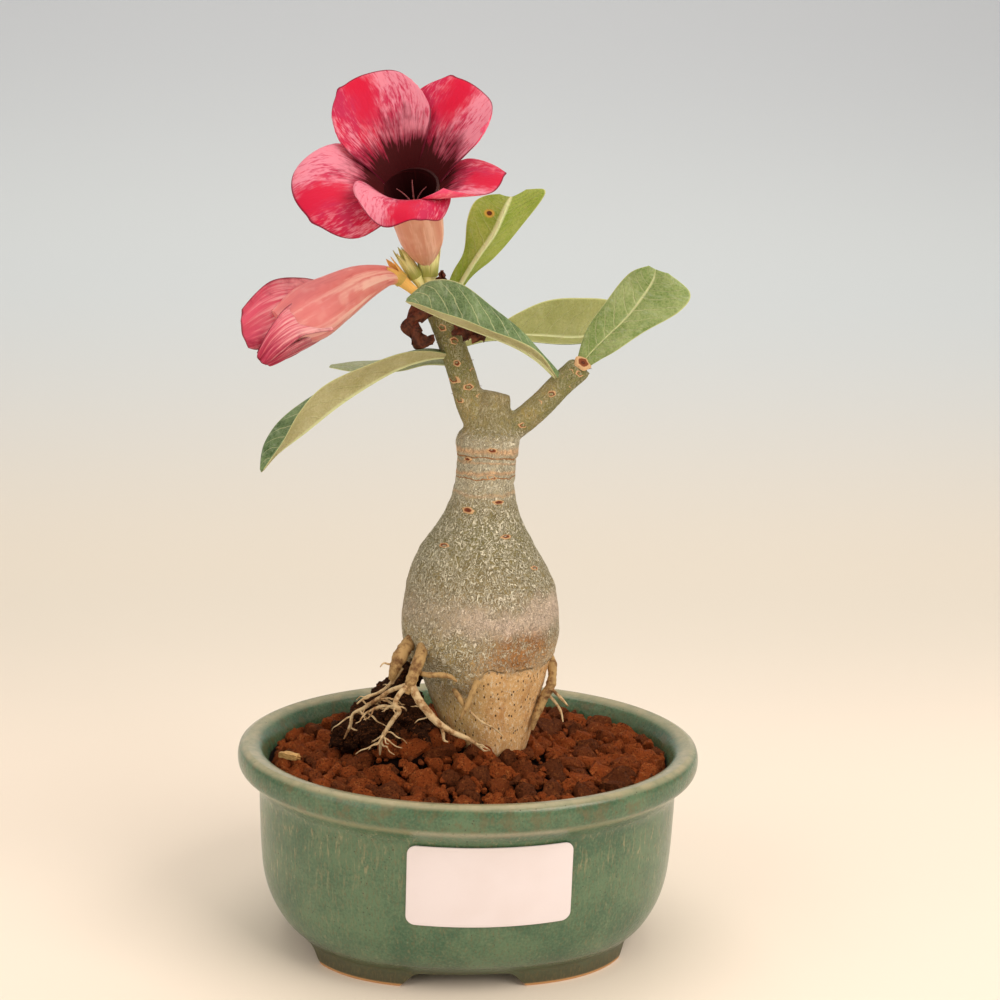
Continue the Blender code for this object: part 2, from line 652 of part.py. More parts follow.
def notch(name, low, high, along_x):
    """A cutter with sloping ends that opens the foot ring from low to high on one axis."""
    form = bmesh.new()
    corners = []
    for side in (-NOTCH_REACH, NOTCH_REACH):
        outline = ((low, -1.0), (high, -1.0), (high - FOOT_FLARE, FOOT_HEIGHT),
                   (low + FOOT_FLARE, FOOT_HEIGHT))
        ring = []
        for place, height in outline:
            spot = (place, side, height) if along_x else (side, place, height)
            ring.append(form.verts.new(spot))
        corners.append(ring)
    skin(form, corners)
    return new_object(name, form, "glaze")


def make_pot():
    """The bowl: outside, crest and inside in one skin, with its feet and drain holes cut."""
    form = bmesh.new()
    rings = [oval_ring(form, *level) for level in POT_OUTSIDE + POT_INSIDE]
    foot_half, _, squareness = POT_OUTSIDE[0]
    recess = oval_ring(form, foot_half - FOOT_WIDTH, FOOT_HEIGHT, squareness)
    foot_inside = oval_ring(form, foot_half - FOOT_WIDTH, 0.0, squareness)
    skin(form, [recess, foot_inside] + rings)
    pot = new_object("pot", form, "glaze")
    cutters = [
        notch("front_back_notch", FRONT_NOTCH[0], FRONT_NOTCH[1], True),
        notch("side_notch", -SIDE_NOTCH_HALF, SIDE_NOTCH_HALF, False),
    ]
    for x in (-DRAIN_OFFSET, DRAIN_OFFSET):
        spine = ((x, 0.0, -5.0, DRAIN_RADIUS), (x, 0.0, 25.0, DRAIN_RADIUS))
        cutters.append(round_bar("drain_hole", spine, 2, 20, "glaze"))
    for cutter in cutters:
        cut(pot, cutter)
        bpy.data.objects.remove(cutter, do_unlink=True)
    return pot


def make_drain_mesh(name, x):
    """A square of plastic mesh over a drain hole, cut from one sheet."""
    floor = POT_INSIDE[-1][1] + GAP
    step = MESH_SIDE / MESH_CELLS
    form = bmesh.new()
    sheets = []
    for height in (floor, floor + MESH_THICKNESS):
        sheets.append([[form.verts.new((x - MESH_SIDE / 2 + i * step, -MESH_SIDE / 2 + j * step, height))
                        for j in range(MESH_CELLS + 1)] for i in range(MESH_CELLS + 1)])
    low, high = sheets

    def open_cell(i, j):
        outside = not (0 <= i < MESH_CELLS and 0 <= j < MESH_CELLS)
        return outside or (i % 2 == 1 and j % 2 == 1)

    for i in range(MESH_CELLS):
        for j in range(MESH_CELLS):
            if open_cell(i, j):
                continue
            corners = ((i, j), (i + 1, j), (i + 1, j + 1), (i, j + 1))
            form.faces.new([high[a][b] for a, b in corners])
            form.faces.new([low[a][b] for a, b in corners[::-1]])
            beside = ((i, j - 1), (i + 1, j), (i, j + 1), (i - 1, j))
            for (a, b), (c, d), other in zip(corners, corners[1:] + corners[:1], beside):
                if open_cell(*other):
                    form.faces.new((low[a][b], low[c][d], high[c][d], high[a][b]))
    return new_object(name, form, "plastic")


def pot_half_length(height):
    """The half length and squareness of the pot's outside at a height."""
    for (low, z_low, square_low), (high, z_high, square_high) in zip(POT_OUTSIDE, POT_OUTSIDE[1:]):
        if z_low <= height <= z_high:
            share = (height - z_low) / (z_high - z_low)
            return low + (high - low) * share, square_low + (square_high - square_low) * share
    return POT_OUTSIDE[0][0], POT_OUTSIDE[0][2]


def make_label():
    """A sticker with round corners that follows the front of the pot."""
    form = bmesh.new()
    tops = []
    bottoms = []
    middle = LABEL_TOP - LABEL_BOTTOM - 2.0 * LABEL_CORNER
    heights = [LABEL_BOTTOM + LABEL_CORNER + middle * row / (LABEL_MIDDLE_ROWS - 1)
               for row in range(LABEL_MIDDLE_ROWS)]
    for height in [LABEL_BOTTOM] + heights + [LABEL_TOP]:
        inset = LABEL_CORNER if height in (LABEL_BOTTOM, LABEL_TOP) else 0.0
        half_length, _ = pot_half_length(height)
        half_width = half_length - POT_NARROWER
        top = []
        bottom = []
        for column in range(LABEL_COLUMNS + 1):
            share = column / LABEL_COLUMNS
            x = LABEL_LEFT + inset + (LABEL_RIGHT - LABEL_LEFT - 2 * inset) * share
            y = -half_width * math.sqrt(1.0 - (x / half_length) ** 2)
            outward = Vector((x / half_length ** 2, y / half_width ** 2, 0.0)).normalized()
            spot = Vector((x, y, height))
            bottom.append(form.verts.new(spot + outward * GAP))
            top.append(form.verts.new(spot + outward * (GAP + LABEL_THICKNESS)))
        tops.append(top)
        bottoms.append(bottom)
    close_sheet(form, tops, bottoms)
    return new_object("label", form, "paper")


def soil_height(x, y):
    """The top of the fill at a place, heaped round the trunk."""
    distance = math.hypot(x - MOUND_PLACE[0], y - MOUND_PLACE[1])
    return SOIL_LEVEL + SOIL_MOUND * math.exp(-(distance / MOUND_SPREAD) ** 2)


def granule_places():
    """Seeded places and sizes of granules that cover the fill, none too close to another."""
    draw = random.Random(SOIL_SEED)
    half_width = SOIL_HALF_LENGTH - POT_NARROWER
    chosen = []
    smallest, largest = GRANULE_SIZES
    for _ in range(GRANULES * GRANULE_TRIES):
        if len(chosen) == GRANULES:
            break
        wanted = largest - (largest - smallest) * len(chosen) / GRANULES
        size = wanted * draw.uniform(0.9, 1.1)
        angle = draw.uniform(0.0, math.tau)
        out = math.sqrt(draw.uniform(0.0, 1.0))
        x = (SOIL_HALF_LENGTH - size) * out * math.cos(angle)
        y = (half_width - size) * out * math.sin(angle)
        if all(math.hypot(x - a, y - b) > 0.8 * (size + other) for a, b, other in chosen):
            chosen.append((x, y, size))
    return chosen


def granule_relief():
    """Spots of the soil's top: facets high on each granule and low hollows between neighbours."""
    draw = random.Random(SOIL_SEED + 1)
    places = granule_places()
    spots = []
    for x, y, size in places:
        crest = soil_height(x, y) + size * draw.uniform(0.35, 0.8)
        turn = draw.uniform(0.0, math.tau)
        for facet in range(GRANULE_FACETS):
            angle = turn + math.tau * facet / GRANULE_FACETS
            out = size * GRANULE_STEP * draw.uniform(0.8, 1.15)
            drop = size * draw.uniform(0.0, 0.22)
            spots.append((x + out * math.cos(angle), y + out * math.sin(angle), crest - drop))
    centres = [Vector((x, y)) for x, y, _ in places]
    for corners in geometry.delaunay_2d_cdt(centres, [], [], 0, FLAT_MERGE)[2]:
        x = sum(centres[corner].x for corner in corners) / 3.0
        y = sum(centres[corner].y for corner in corners) / 3.0
        nearest = min(math.hypot(x - a, y - b) / size for a, b, size in places)
        if nearest > GRANULE_STEP * 1.25:
            spots.append((x, y, soil_height(x, y) - HOLLOW_DEPTH))
    return spots


def make_soil():
    """The fill of the bowl, shaped to the pot's inside, with a relief of granules on top."""
    form = bmesh.new()
    rings = []
    levels = [level for level in POT_INSIDE[::-1] if level[1] < SOIL_LEVEL - 1.0]
    for index, (half_length, height, square) in enumerate(levels):
        lift = 2.0 * GAP + MESH_THICKNESS if index == 0 else 0.0
        rings.append(oval_ring(form, half_length - 2.0 * GAP, height + lift, square))
    brim = oval_ring(form, SOIL_HALF_LENGTH, 0.0, 2.0)
    for corner in brim:
        corner.co.z = soil_height(corner.co.x, corner.co.y)
    rings.append(brim)
    skin(form, rings, close_end=False)
    top = list(brim) + [form.verts.new(spot) for spot in granule_relief()]
    flat = [corner.co.to_2d() for corner in top]
    kept = geometry.delaunay_2d_cdt(flat, [], [], 0, FLAT_MERGE)
    for corners in kept[2]:
        form.faces.new([top[kept[3][corner][0]] for corner in corners])
    return new_object("soil", form, "granules")


def make_chip(name, grow=0.0):
    """A splinter of pale wood on the granules."""
    form = bmesh.new()
    bmesh.ops.create_cube(form, size=1.0)
    for corner in form.verts:
        taper = CHIP_TAPER if corner.co.x > 0 else 1.0
        along = corner.co.x * (CHIP_SIZE[0] + 2.0 * grow)
        across = corner.co.y * (CHIP_SIZE[1] + 2.0 * grow) * taper
        x = along * math.cos(CHIP_TURN) - across * math.sin(CHIP_TURN)
        y = along * math.sin(CHIP_TURN) + across * math.cos(CHIP_TURN)
        z = corner.co.z * (CHIP_SIZE[2] + 2.0 * grow) + CHIP_RISE * along
        corner.co = Vector((x, y, z)) + Vector(CHIP_PLACE)
    return new_object(name, form, "wood")


def caudex_level(z):
    """Left, right, front and back of the caudex at a height."""
    for low, high in zip(CAUDEX_LEVELS, CAUDEX_LEVELS[1:]):
        if low[0] <= z <= high[0]:
            share = (z - low[0]) / (high[0] - low[0])
            return [a + (b - a) * share for a, b in zip(low[1:], high[1:])]
    return CAUDEX_LEVELS[-1][1:]


def make_caudex(grow):
    """The swollen trunk from its buried taproot to the slanted cut of its stub."""
    form = bmesh.new()
    rings = []
    top = CAUDEX_LEVELS[-1][0]
    for z, left, right, front, back in CAUDEX_LEVELS:
        middle = Vector(((left + right) / 2, (front + back) / 2, z))
        ring = []
        for side in range(CAUDEX_SIDES):
            angle = math.tau * side / CAUDEX_SIDES
            out = Vector((math.cos(angle) * (right - left) / 2, math.sin(angle) * (back - front) / 2, 0.0))
            relief = BARK_RELIEF * noise.noise((middle + out) * BARK_SCALE)
            out += out.normalized() * (grow + relief)
            spot = middle + out
            if z == top:
                spot.z += STUB_SLANT * out.x + grow
            ring.append(form.verts.new(spot))
        rings.append(ring)
    skin(form, rings)
    return new_object("trunk", form, "bark")


def scar(place, outward, size, grow):
    """A raised oval left by a leaf, lying on the bark."""
    turn = Vector((0.0, 0.0, 1.0)).rotation_difference(outward)
    grown = [value + grow for value in size]
    return lump("scar", place, grown, "bark", turn=turn)


def branch_scars(curve, marks, grow):
    """Scars on both faces of a branch, from pairs of height and share across."""
    stations = smooth(curve, 40)
    scars = []
    for facing, chosen in ((-1.0, marks), (1.0, marks[::2])):
        for height, across in chosen:
            x, y, z, radius = min(stations, key=lambda row: abs(row[2] - height))
            outward = Vector((across * facing * -1.0, facing * math.sqrt(1.0 - across * across), 0.0))
            lift = BACK_SCAR_LIFT if facing > 0 else 0.0
            place = Vector((x, y, z + lift)) + outward * (radius - SCAR_SINK)
            scars.append(scar(place, outward, SCAR_SIZE, grow))
    return scars


def trunk_scars(grow):
    """Scars on both faces of the neck and shoulders."""
    scars = []
    for facing, chosen in ((-1.0, TRUNK_SCARS), (1.0, TRUNK_SCARS[::2])):
        for height, across in chosen:
            z = height + (2.0 * BACK_SCAR_LIFT if facing > 0 else 0.0)
            left, right, front, back = caudex_level(z)
            outward = Vector((-across * facing, facing * math.sqrt(1.0 - across * across), 0.0))
            place = Vector(((left + right) / 2 + outward.x * (right - left) / 2,
                            (front + back) / 2 + outward.y * (back - front) / 2, z)) - outward * SCAR_SINK
            scars.append(scar(place, outward, TRUNK_SCAR_SIZE, grow))
    return scars


def make_trunk(name, grow=0.0):
    """Caudex, branches, scars and roots, grown as one body."""
    parts = [make_caudex(grow)]
    parts.append(round_bar("left_branch", LEFT_BRANCH, 12, BRANCH_SIDES, "bark", grow))
    parts.append(round_bar("right_branch", RIGHT_BRANCH, 10, BRANCH_SIDES, "bark", grow))
    for root in ROOTS:
        parts.append(round_bar("root", root, 2 * len(root) - 1, ROOT_SIDES, "bark", grow))
    parts += branch_scars(LEFT_BRANCH, LEFT_SCARS, grow)
    parts += branch_scars(RIGHT_BRANCH, RIGHT_SCARS, grow)
    parts += trunk_scars(grow)
    return fuse(name, parts)


def make_peat(name, grow=0.0):
    """Dark peat caught between the left roots."""
    parts = []
    for number, (x, y, z, radius) in enumerate(PEAT_LUMPS):
        size = radius + grow
        parts.append(lump("peat", (x, y, z), (size, size, size * 0.9), "peat", PEAT_JITTER, number))
    return fuse(name, parts)


def bloom_frame():
    """The throat's place and the three directions of the open bloom: across, back and out."""
    out = Vector(BLOOM_AXIS).normalized()
    across = Vector((1.0, 0.0, 0.0))
    across = (across - out * across.dot(out)).normalized()
    return Vector(THROAT), across, out.cross(across), out


def make_tube_shell(name, stations, sides, wall, look):
    """A round tube with a thin wall, open at its wide end."""
    form = bmesh.new()
    outer = round_rings(form, stations, sides)
    inner_stations = [(x, y, z, radius - wall) for x, y, z, radius in stations if radius > 2.5 * wall]
    inner = round_rings(form, inner_stations, sides)
    skin(form, outer + inner[::-1])
    return new_object(name, form, look)


def make_petal(azimuth, lift, droop, reach, roll):
    """One petal of the open bloom, fanning out of the throat over its neighbour's edge."""
    throat, across, back, out = bloom_frame()
    grid = []
    for row in range(PETAL_ROWS + 1):
        s = row / PETAL_ROWS
        spread_now = math.radians(PETAL_SPREAD[row])
        line = []
        for column in range(PETAL_COLUMNS + 1):
            t = 2.0 * column / PETAL_COLUMNS - 1.0
            angle = math.radians(azimuth) + t * spread_now
            length = PETAL_REACH * reach - PETAL_START
            radius = PETAL_START + length * s * (1.0 - PETAL_ROUNDING * t * t * s)
            height = lift * FUNNEL_HEIGHT * (1.0 - math.exp(-(radius - PETAL_START) / FUNNEL_EASE))
            height += droop * s ** 3 - PETAL_TWIST * t * min(1.0, 2.0 * s) - PETAL_DIP * (1.0 - s) ** 3
            height -= roll * (t + 0.2) * s ** 1.5
            height += PETAL_RIPPLE * math.sin(3.0 * t + azimuth) * s * s
            outward = across * math.cos(angle) + back * math.sin(angle)
            line.append(throat + outward * radius + out * height)
        grid.append(line)
    form = bmesh.new()
    tops = []
    bottoms = []
    for i, line in enumerate(grid):
        top = []
        bottom = []
        for j, point in enumerate(line):
            ahead = grid[min(i + 1, PETAL_ROWS)][j] - grid[max(i - 1, 0)][j]
            sideways = line[min(j + 1, PETAL_COLUMNS)] - line[max(j - 1, 0)]
            normal = ahead.cross(sideways).normalized() * PETAL_THICKNESS / 2
            top.append(form.verts.new(point + normal))
            bottom.append(form.verts.new(point - normal))
        tops.append(top)
        bottoms.append(bottom)
    close_sheet(form, tops, bottoms)
    return new_object("petal", form, "petal")


def make_corolla():
    """The open bloom's tube and five petals."""
    stations = smooth(COROLLA_TUBE, COROLLA_STATIONS)
    parts = [make_tube_shell("bloom_corolla", stations, COROLLA_SIDES, COROLLA_WALL, "petal")]
    parts += [make_petal(*petal) for petal in PETALS]
    return fuse("bloom_corolla", parts)


def make_anthers():
    """A five lobed cone on filaments that reach for the tube's wall."""
    stations = smooth(COROLLA_TUBE, COROLLA_STATIONS)
    foot = Vector(stations[ANTHER_STATION][:3])
    out = (Vector(stations[-1][:3]) - foot).normalized()
    across = out.orthogonal().normalized()
    back = out.cross(across)
    corners = 2 * ANTHER_LOBES
    form = bmesh.new()
    rings = []
    for share, width in ANTHER_OUTLINE:
        ring = []
        for side in range(corners):
            angle = math.tau * side / corners
            radius = ANTHER_RADIUS * width * (1.0 if side % 2 == 0 else 0.6)
            outward = across * math.cos(angle) + back * math.sin(angle)
            ring.append(form.verts.new(foot + out * ANTHER_LENGTH * share + outward * radius))
        rings.append(ring)
    skin(form, rings)
    parts = [new_object("bloom_anthers", form, "anther")]
    reach = stations[ANTHER_STATION][3] - COROLLA_WALL - FILAMENT_RADIUS - 3.0 * GAP
    for side in range(ANTHER_LOBES):
        angle = math.tau * side / ANTHER_LOBES
        outward = across * math.cos(angle) + back * math.sin(angle)
        points = []
        for height, share in FILAMENT_STATIONS:
            points.append(tuple(foot + out * height + outward * reach * share) + (FILAMENT_RADIUS,))
        parts.append(round_bar("filament", points, len(points), 5, "anther"))
    return fuse("bloom_anthers", parts)


def make_calyx(name, stem, sepals, grow=0.0):
    """A short stem that widens to a cup with five pointed lobes, in one skin."""
    radius, length, half_width, splay = sepals
    radius += grow
    half_width += grow
    thickness = SEPAL_THICKNESS + 2.0 * grow
    form = bmesh.new()
    sides = 2 * SEPAL_COUNT
    stations = [(x, y, z, r + grow) for x, y, z, r in smooth(stem, STEM_STATIONS)]
    rings = round_rings(form, stations, sides)
    tip = Vector(stations[-1][:3])
    before = Vector(stations[-2][:3])
    out = (tip - before).normalized()
    spokes = [(corner.co - tip).normalized() for corner in rings[-1]]
    brim = tip + out * CUP_DEPTH
    outer = [form.verts.new(brim + spoke * radius) for spoke in spokes]
    inner = [form.verts.new(brim + spoke * (radius - thickness)) for spoke in spokes]
    skin(form, rings + [outer], close_end=False)
    form.faces.new(inner)
    for number in range(SEPAL_COUNT):
        first = 2 * number
        picks = [first, (first + 1) % sides, (first + 2) % sides]
        outward = spokes[picks[1]]
        sideways = out.cross(outward)
        rows = [([outer[pick] for pick in picks], [inner[pick] for pick in picks])]
        for share, width in SEPAL_OUTLINE:
            flare = radius * (1.0 + (splay - 1.0) * share)
            middle = brim + out * length * share + outward * flare
            side = sideways * half_width * width
            front = [form.verts.new(middle + offset) for offset in (-side, outward * 0.2, side)]
            back = [form.verts.new(corner.co - outward * thickness) for corner in front]
            rows.append((front, back))
        for (front, back), (next_front, next_back) in zip(rows, rows[1:]):
            for column in range(2):
                beside = column + 1
                form.faces.new((front[column], front[beside], next_front[beside], next_front[column]))
                form.faces.new((back[column], next_back[column], next_back[beside], back[beside]))
            form.faces.new((front[0], next_front[0], next_back[0], back[0]))
            form.faces.new((front[2], back[2], next_back[2], next_front[2]))
        front, back = rows[-1]
        form.faces.new((front[0], front[1], front[2], back[2], back[1], back[0]))
    bmesh.ops.triangulate(form, faces=form.faces)
    return new_object(name, form, "calyx")


def make_faded_corolla():
    """The wilted bloom: a full tube with its petals folded down over each other."""
    parts = [round_bar("faded_corolla", FADED_TUBE, FADED_STATIONS, FADED_SIDES, "faded_petal")]
    for rows in FADED_PETALS:
        parts.append(blade("folded_petal", rows, 2, (1.0, 0.8), 0.0, 0.6, "faded_petal", 6))
    return fuse("faded_corolla", parts)


def build():
    """Model every piece and seat it against the ones that carry it."""
    clear_objects()
    make_pot()
    make_label()
    for side, name in ((-1.0, "drain_mesh_left"), (1.0, "drain_mesh_right")):
        make_drain_mesh(name, side * DRAIN_OFFSET)
    make_trunk("trunk")
    room_for_trunk = make_trunk("room_for_trunk", GAP)
    peat = make_peat("peat_clump")
    room_for_peat = make_peat("room_for_peat", GAP)
    soil = make_soil()
    make_chip("wood_chip")
    room_for_chip = make_chip("room_for_chip", GAP)
    cut(peat, room_for_trunk)
    cut(soil, room_for_trunk)
    cut(soil, room_for_peat)
    cut(soil, room_for_chip)
    for name, rows in LEAVES.items():
        leaf = blade(name, rows, LEAF_HALF_COLUMNS, LEAF_THICKNESS, LEAF_RIB, LEAF_WAVE, "leaf",
                     LEAF_ROWS)
        cut(leaf, room_for_trunk)
    for name, rows in BRACTS.items():
        bract = blade(name, rows, 1, (0.7, 0.7), 0.0, 0.0, "dry", 2 * len(rows) - 1)
        cut(bract, room_for_trunk)
    make_corolla()
    make_anthers()
    room_for_tube = round_bar("room_for_tube", COROLLA_TUBE, COROLLA_STATIONS, COROLLA_SIDES,
                              "petal", GAP)
    room_for_faded = round_bar("room_for_faded", FADED_TUBE, FADED_STATIONS, FADED_SIDES, "petal", GAP)
    room_for_open_calyx = make_calyx("room_for_open_calyx", OPEN_STEM, OPEN_SEPALS, GAP)
    room_for_spent_calyx = make_calyx("room_for_spent_calyx", SPENT_STEM, SPENT_SEPALS, GAP)
    open_calyx = make_calyx("bloom_calyx", OPEN_STEM, OPEN_SEPALS)
    spent_calyx = make_calyx("spent_calyx", SPENT_STEM, SPENT_SEPALS)
    faded_calyx = make_calyx("faded_calyx", FADED_STEM, FADED_SEPALS)
    for calyx, neighbours in (
            (open_calyx, (room_for_trunk, room_for_tube)),
            (spent_calyx, (room_for_trunk, room_for_open_calyx)),
            (faded_calyx, (room_for_trunk, room_for_faded, room_for_open_calyx, room_for_spent_calyx))):
        for neighbour in neighbours:
            cut(calyx, neighbour)
    make_faded_corolla()
    for helper in (room_for_trunk, room_for_peat, room_for_chip, room_for_tube, room_for_faded,
                   room_for_open_calyx, room_for_spent_calyx):
        bpy.data.objects.remove(helper, do_unlink=True)


build()
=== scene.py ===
"""Dresses the desert rose bonsai and its glazed bowl for the picture.

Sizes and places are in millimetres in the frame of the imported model, and become metres when a piece is
finished. Every piece is made by the class of its sub-assembly, and main builds the classes in order.
"""
import logging
import math
import random
from dataclasses import dataclass
from enum import Enum
from typing import Any, Dict, List, Optional, Sequence, Tuple, Union

import bpy
import numpy as np
from mathutils import Matrix, Vector, noise


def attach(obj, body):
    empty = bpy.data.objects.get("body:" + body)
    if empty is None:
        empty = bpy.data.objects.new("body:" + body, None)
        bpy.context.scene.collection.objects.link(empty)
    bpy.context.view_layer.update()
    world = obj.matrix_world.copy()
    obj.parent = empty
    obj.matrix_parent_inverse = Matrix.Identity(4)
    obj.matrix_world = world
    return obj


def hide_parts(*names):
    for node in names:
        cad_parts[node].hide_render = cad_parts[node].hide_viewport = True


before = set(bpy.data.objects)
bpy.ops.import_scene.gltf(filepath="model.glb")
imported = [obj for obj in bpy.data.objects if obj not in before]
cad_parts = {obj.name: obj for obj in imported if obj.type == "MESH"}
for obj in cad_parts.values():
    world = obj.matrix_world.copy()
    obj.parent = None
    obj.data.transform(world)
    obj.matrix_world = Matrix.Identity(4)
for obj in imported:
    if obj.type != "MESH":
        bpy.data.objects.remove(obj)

LOG = logging.getLogger("desert_rose")
MM = 0.001
Array = np.ndarray
Colour = Tuple[float, float, float]
Row = Tuple[float, ...]
Piece = bpy.types.Object
Material = bpy.types.Material

# Share of the studio light that reaches a surface, for turning seen colours into paint
STUDIO_LIGHT = (1.0, 0.86, 0.75)


def seen(red: float, green: float, blue: float) -> Colour:
    """Paint that shows as a screen colour of 0 to 255 in the studio light.

    Args:
        red: Red on the screen.
        green: Green on the screen.
        blue: Blue on the screen.

    Returns:
        The linear colour of the paint.
    """
    linear = []
    for value, light in zip((red, green, blue), STUDIO_LIGHT):
        share = value / 255.0
        share = share / 12.92 if share <= 0.04045 else ((share + 0.055) / 1.055) ** 2.4
        linear.append(min(share / light, 0.95))
    return tuple(linear)


def smooth(points: Sequence[Row], count: int) -> Array:
    """Evenly spread values of the smooth curve through rows of numbers.

    Args:
        points: Rows of any number of values.
        count: How many rows come back.

    Returns:
        An array of count rows.
    """
    rows = np.array(points, float)
    place = np.linspace(0.0, len(rows) - 1.0, count)
    span = np.minimum(place.astype(int), len(rows) - 2)
    t = (place - span)[:, None]
    a = rows[np.maximum(span - 1, 0)]
    b = rows[span]
    c = rows[span + 1]
    d = rows[np.minimum(span + 2, len(rows) - 1)]
    return 0.5 * (2 * b + (c - a) * t + (2 * a - 5 * b + 4 * c - d) * t ** 2
                  + (3 * b - a - 3 * c + d) * t ** 3)


def wander(points: Array, scale: float, seed: float = 0.0) -> Array:
    """Smooth noise of about -1 to 1 at points, one value for each."""
    return np.array([noise.noise(Vector(point)) for point in points * scale + seed])


def step(low: float, high: float, values: Array) -> Array:
    """A soft step from 0 at low to 1 at high."""
    t = np.clip((values - low) / (high - low), 0.0, 1.0)
    return t * t * (3.0 - 2.0 * t)


def taper(share: Array, power: float) -> Array:
    """1 in the middle, rounding off to 0 where the share reaches 1 on either side."""
    return np.sqrt(np.clip(1.0 - np.abs(share) ** power, 0.0, 1.0))


def rails_through(rows: Sequence[Tuple[Row, Row, Row]], count: int) -> Tuple[Array, Array, Array]:
    """Smooth middle, near edge and far edge through rows of the three."""
    rails = smooth([[value for point in row for value in point] for row in rows], count)
    return rails[:, 0:3], rails[:, 3:6], rails[:, 6:9]


# Modelling by hand, with Blender's own tools

def deselect() -> None:
    """Leave edit mode and select nothing."""
    if bpy.context.object and bpy.context.object.mode != "OBJECT":
        bpy.ops.object.mode_set(mode="OBJECT")
    bpy.ops.object.select_all(action="DESELECT")


def take(piece: Piece) -> Piece:
    """Make a piece the only selected one and the active one."""
    deselect()
    piece.select_set(True)
    bpy.context.view_layer.objects.active = piece
    return piece


def edit(piece: Piece) -> None:
    """Open a piece in edit mode with all of it selected."""
    take(piece)
    bpy.ops.object.mode_set(mode="EDIT")
    bpy.ops.mesh.select_all(action="SELECT")


def points_of(piece: Piece) -> Array:
    """The places of a piece's vertices, one row each."""
    flat = np.empty(len(piece.data.vertices) * 3, np.float32)
    piece.data.vertices.foreach_get("co", flat)
    return flat.reshape(-1, 3).astype(float)


def normals_of(piece: Piece) -> Array:
    """The outward directions of a piece's vertices, one row each."""
    flat = np.empty(len(piece.data.vertices) * 3, np.float32)
    piece.data.vertex_normals.foreach_get("vector", flat)
    return flat.reshape(-1, 3).astype(float)


def move_points(piece: Piece, places: Array) -> None:
    """Put a piece's vertices at new places."""
    piece.data.vertices.foreach_set("co", places.astype(np.float32).ravel())
    piece.data.update()


def apply(piece: Piece, kind: str, **settings: Any) -> None:
    """Add a modifier of a kind with its settings and apply it."""
    take(piece)
    modifier = piece.modifiers.new(kind.lower(), kind)
    for name, value in settings.items():
        setattr(modifier, name, value)
    bpy.ops.object.modifier_apply(modifier=modifier.name)


def join(pieces: List[Piece], name: str) -> Piece:
    """Join pieces in the first of them and name it."""
    take(pieces[0])
    for piece in pieces:
        piece.select_set(True)
    if len(pieces) > 1:
        bpy.ops.object.join()
    pieces[0].name = name
    return pieces[0]


def cut(piece: Piece, cutter: Piece) -> None:
    """Take a cutter's form out of a piece and drop the cutter."""
    apply(piece, "BOOLEAN", operation="DIFFERENCE", object=cutter, solver="EXACT")
    bpy.data.objects.remove(cutter, do_unlink=True)


def sheet(name: str, grid: Array) -> Piece:
    """A grid laid through places, with its map across in u and along in v.

    Args:
        name: The piece's name.
        grid: Places, as rows along by columns across by three.

    Returns:
        The new piece, open at its edges.
    """
    rows = grid.shape[0] - 1
    columns = grid.shape[1] - 1
    deselect()
    bpy.ops.mesh.primitive_grid_add(x_subdivisions=columns, y_subdivisions=rows, size=2.0)
    piece = bpy.context.object
    piece.name = name
    flat = points_of(piece)
    across = np.rint((flat[:, 0] + 1.0) / 2.0 * columns).astype(int)
    along = np.rint((flat[:, 1] + 1.0) / 2.0 * rows).astype(int)
    move_points(piece, grid[along, across])
    return piece


def weld(piece: Piece, distance: float = 0.002) -> None:
    """Merge vertices that lie on each other."""
    edit(piece)
    bpy.ops.mesh.remove_doubles(threshold=distance)
    bpy.ops.object.mode_set(mode="OBJECT")


def face_outward(piece: Piece) -> None:
    """Turn a piece's faces outward."""
    edit(piece)
    bpy.ops.mesh.normals_make_consistent(inside=False)
    bpy.ops.object.mode_set(mode="OBJECT")


def dress(piece: Piece, *paints: Material) -> None:
    """Give a piece its finishes and no others."""
    piece.data.materials.clear()
    for paint in paints:
        piece.data.materials.append(paint)


def wrap(name: str, rings: Array) -> Piece:
    """A closed skin through rings, its seam welded and both ends filled, facing outward."""
    closed = np.concatenate([rings, rings[:, :1]], axis=1)
    piece = sheet(name, closed)
    weld(piece)
    edit(piece)
    bpy.ops.mesh.fill_holes(sides=0)
    face_outward(piece)
    return piece


def carried_frames(centres: Array) -> Tuple[Array, Array]:
    """Two square directions at each point of a curve, carried along it without twist."""
    ahead = np.gradient(centres, axis=0)
    ahead /= np.linalg.norm(ahead, axis=1, keepdims=True)
    across = np.empty_like(centres)
    guide = np.array(Vector(ahead[0]).orthogonal())
    for index, direction in enumerate(ahead):
        guide = guide - direction * guide.dot(direction)
        guide = guide / np.linalg.norm(guide)
        across[index] = guide
    return across, np.cross(ahead, across)


def rings_along(stations: Array, sides: int) -> Array:
    """Rings round stations of x, y, z and radius, as stations by sides by three."""
    across, upward = carried_frames(stations[:, :3])
    angle = np.linspace(0.0, math.tau, sides, endpoint=False)
    spoke = (across[:, None] * np.cos(angle)[None, :, None]
             + upward[:, None] * np.sin(angle)[None, :, None])
    return stations[:, None, :3] + spoke * stations[:, 3][:, None, None]


def bar(name: str, points: Sequence[Row], count: int, sides: int, knots: float = 0.0) -> Piece:
    """A round bar along a curve, with lumpy thickness.

    Args:
        name: The piece's name.
        points: Rows of x, y, z and radius.
        count: How many rings it has.
        sides: How many sides a ring has.
        knots: Share by which the thickness comes and goes.

    Returns:
        The closed bar.
    """
    stations = smooth(points, count)
    if knots:
        swell = wander(stations[:, :3], 0.45, 3.0) + 0.6 * wander(stations[:, :3], 1.1, 9.0)
        stations[:, 3] *= 1.0 + knots * swell
    return wrap(name, rings_along(stations, sides))


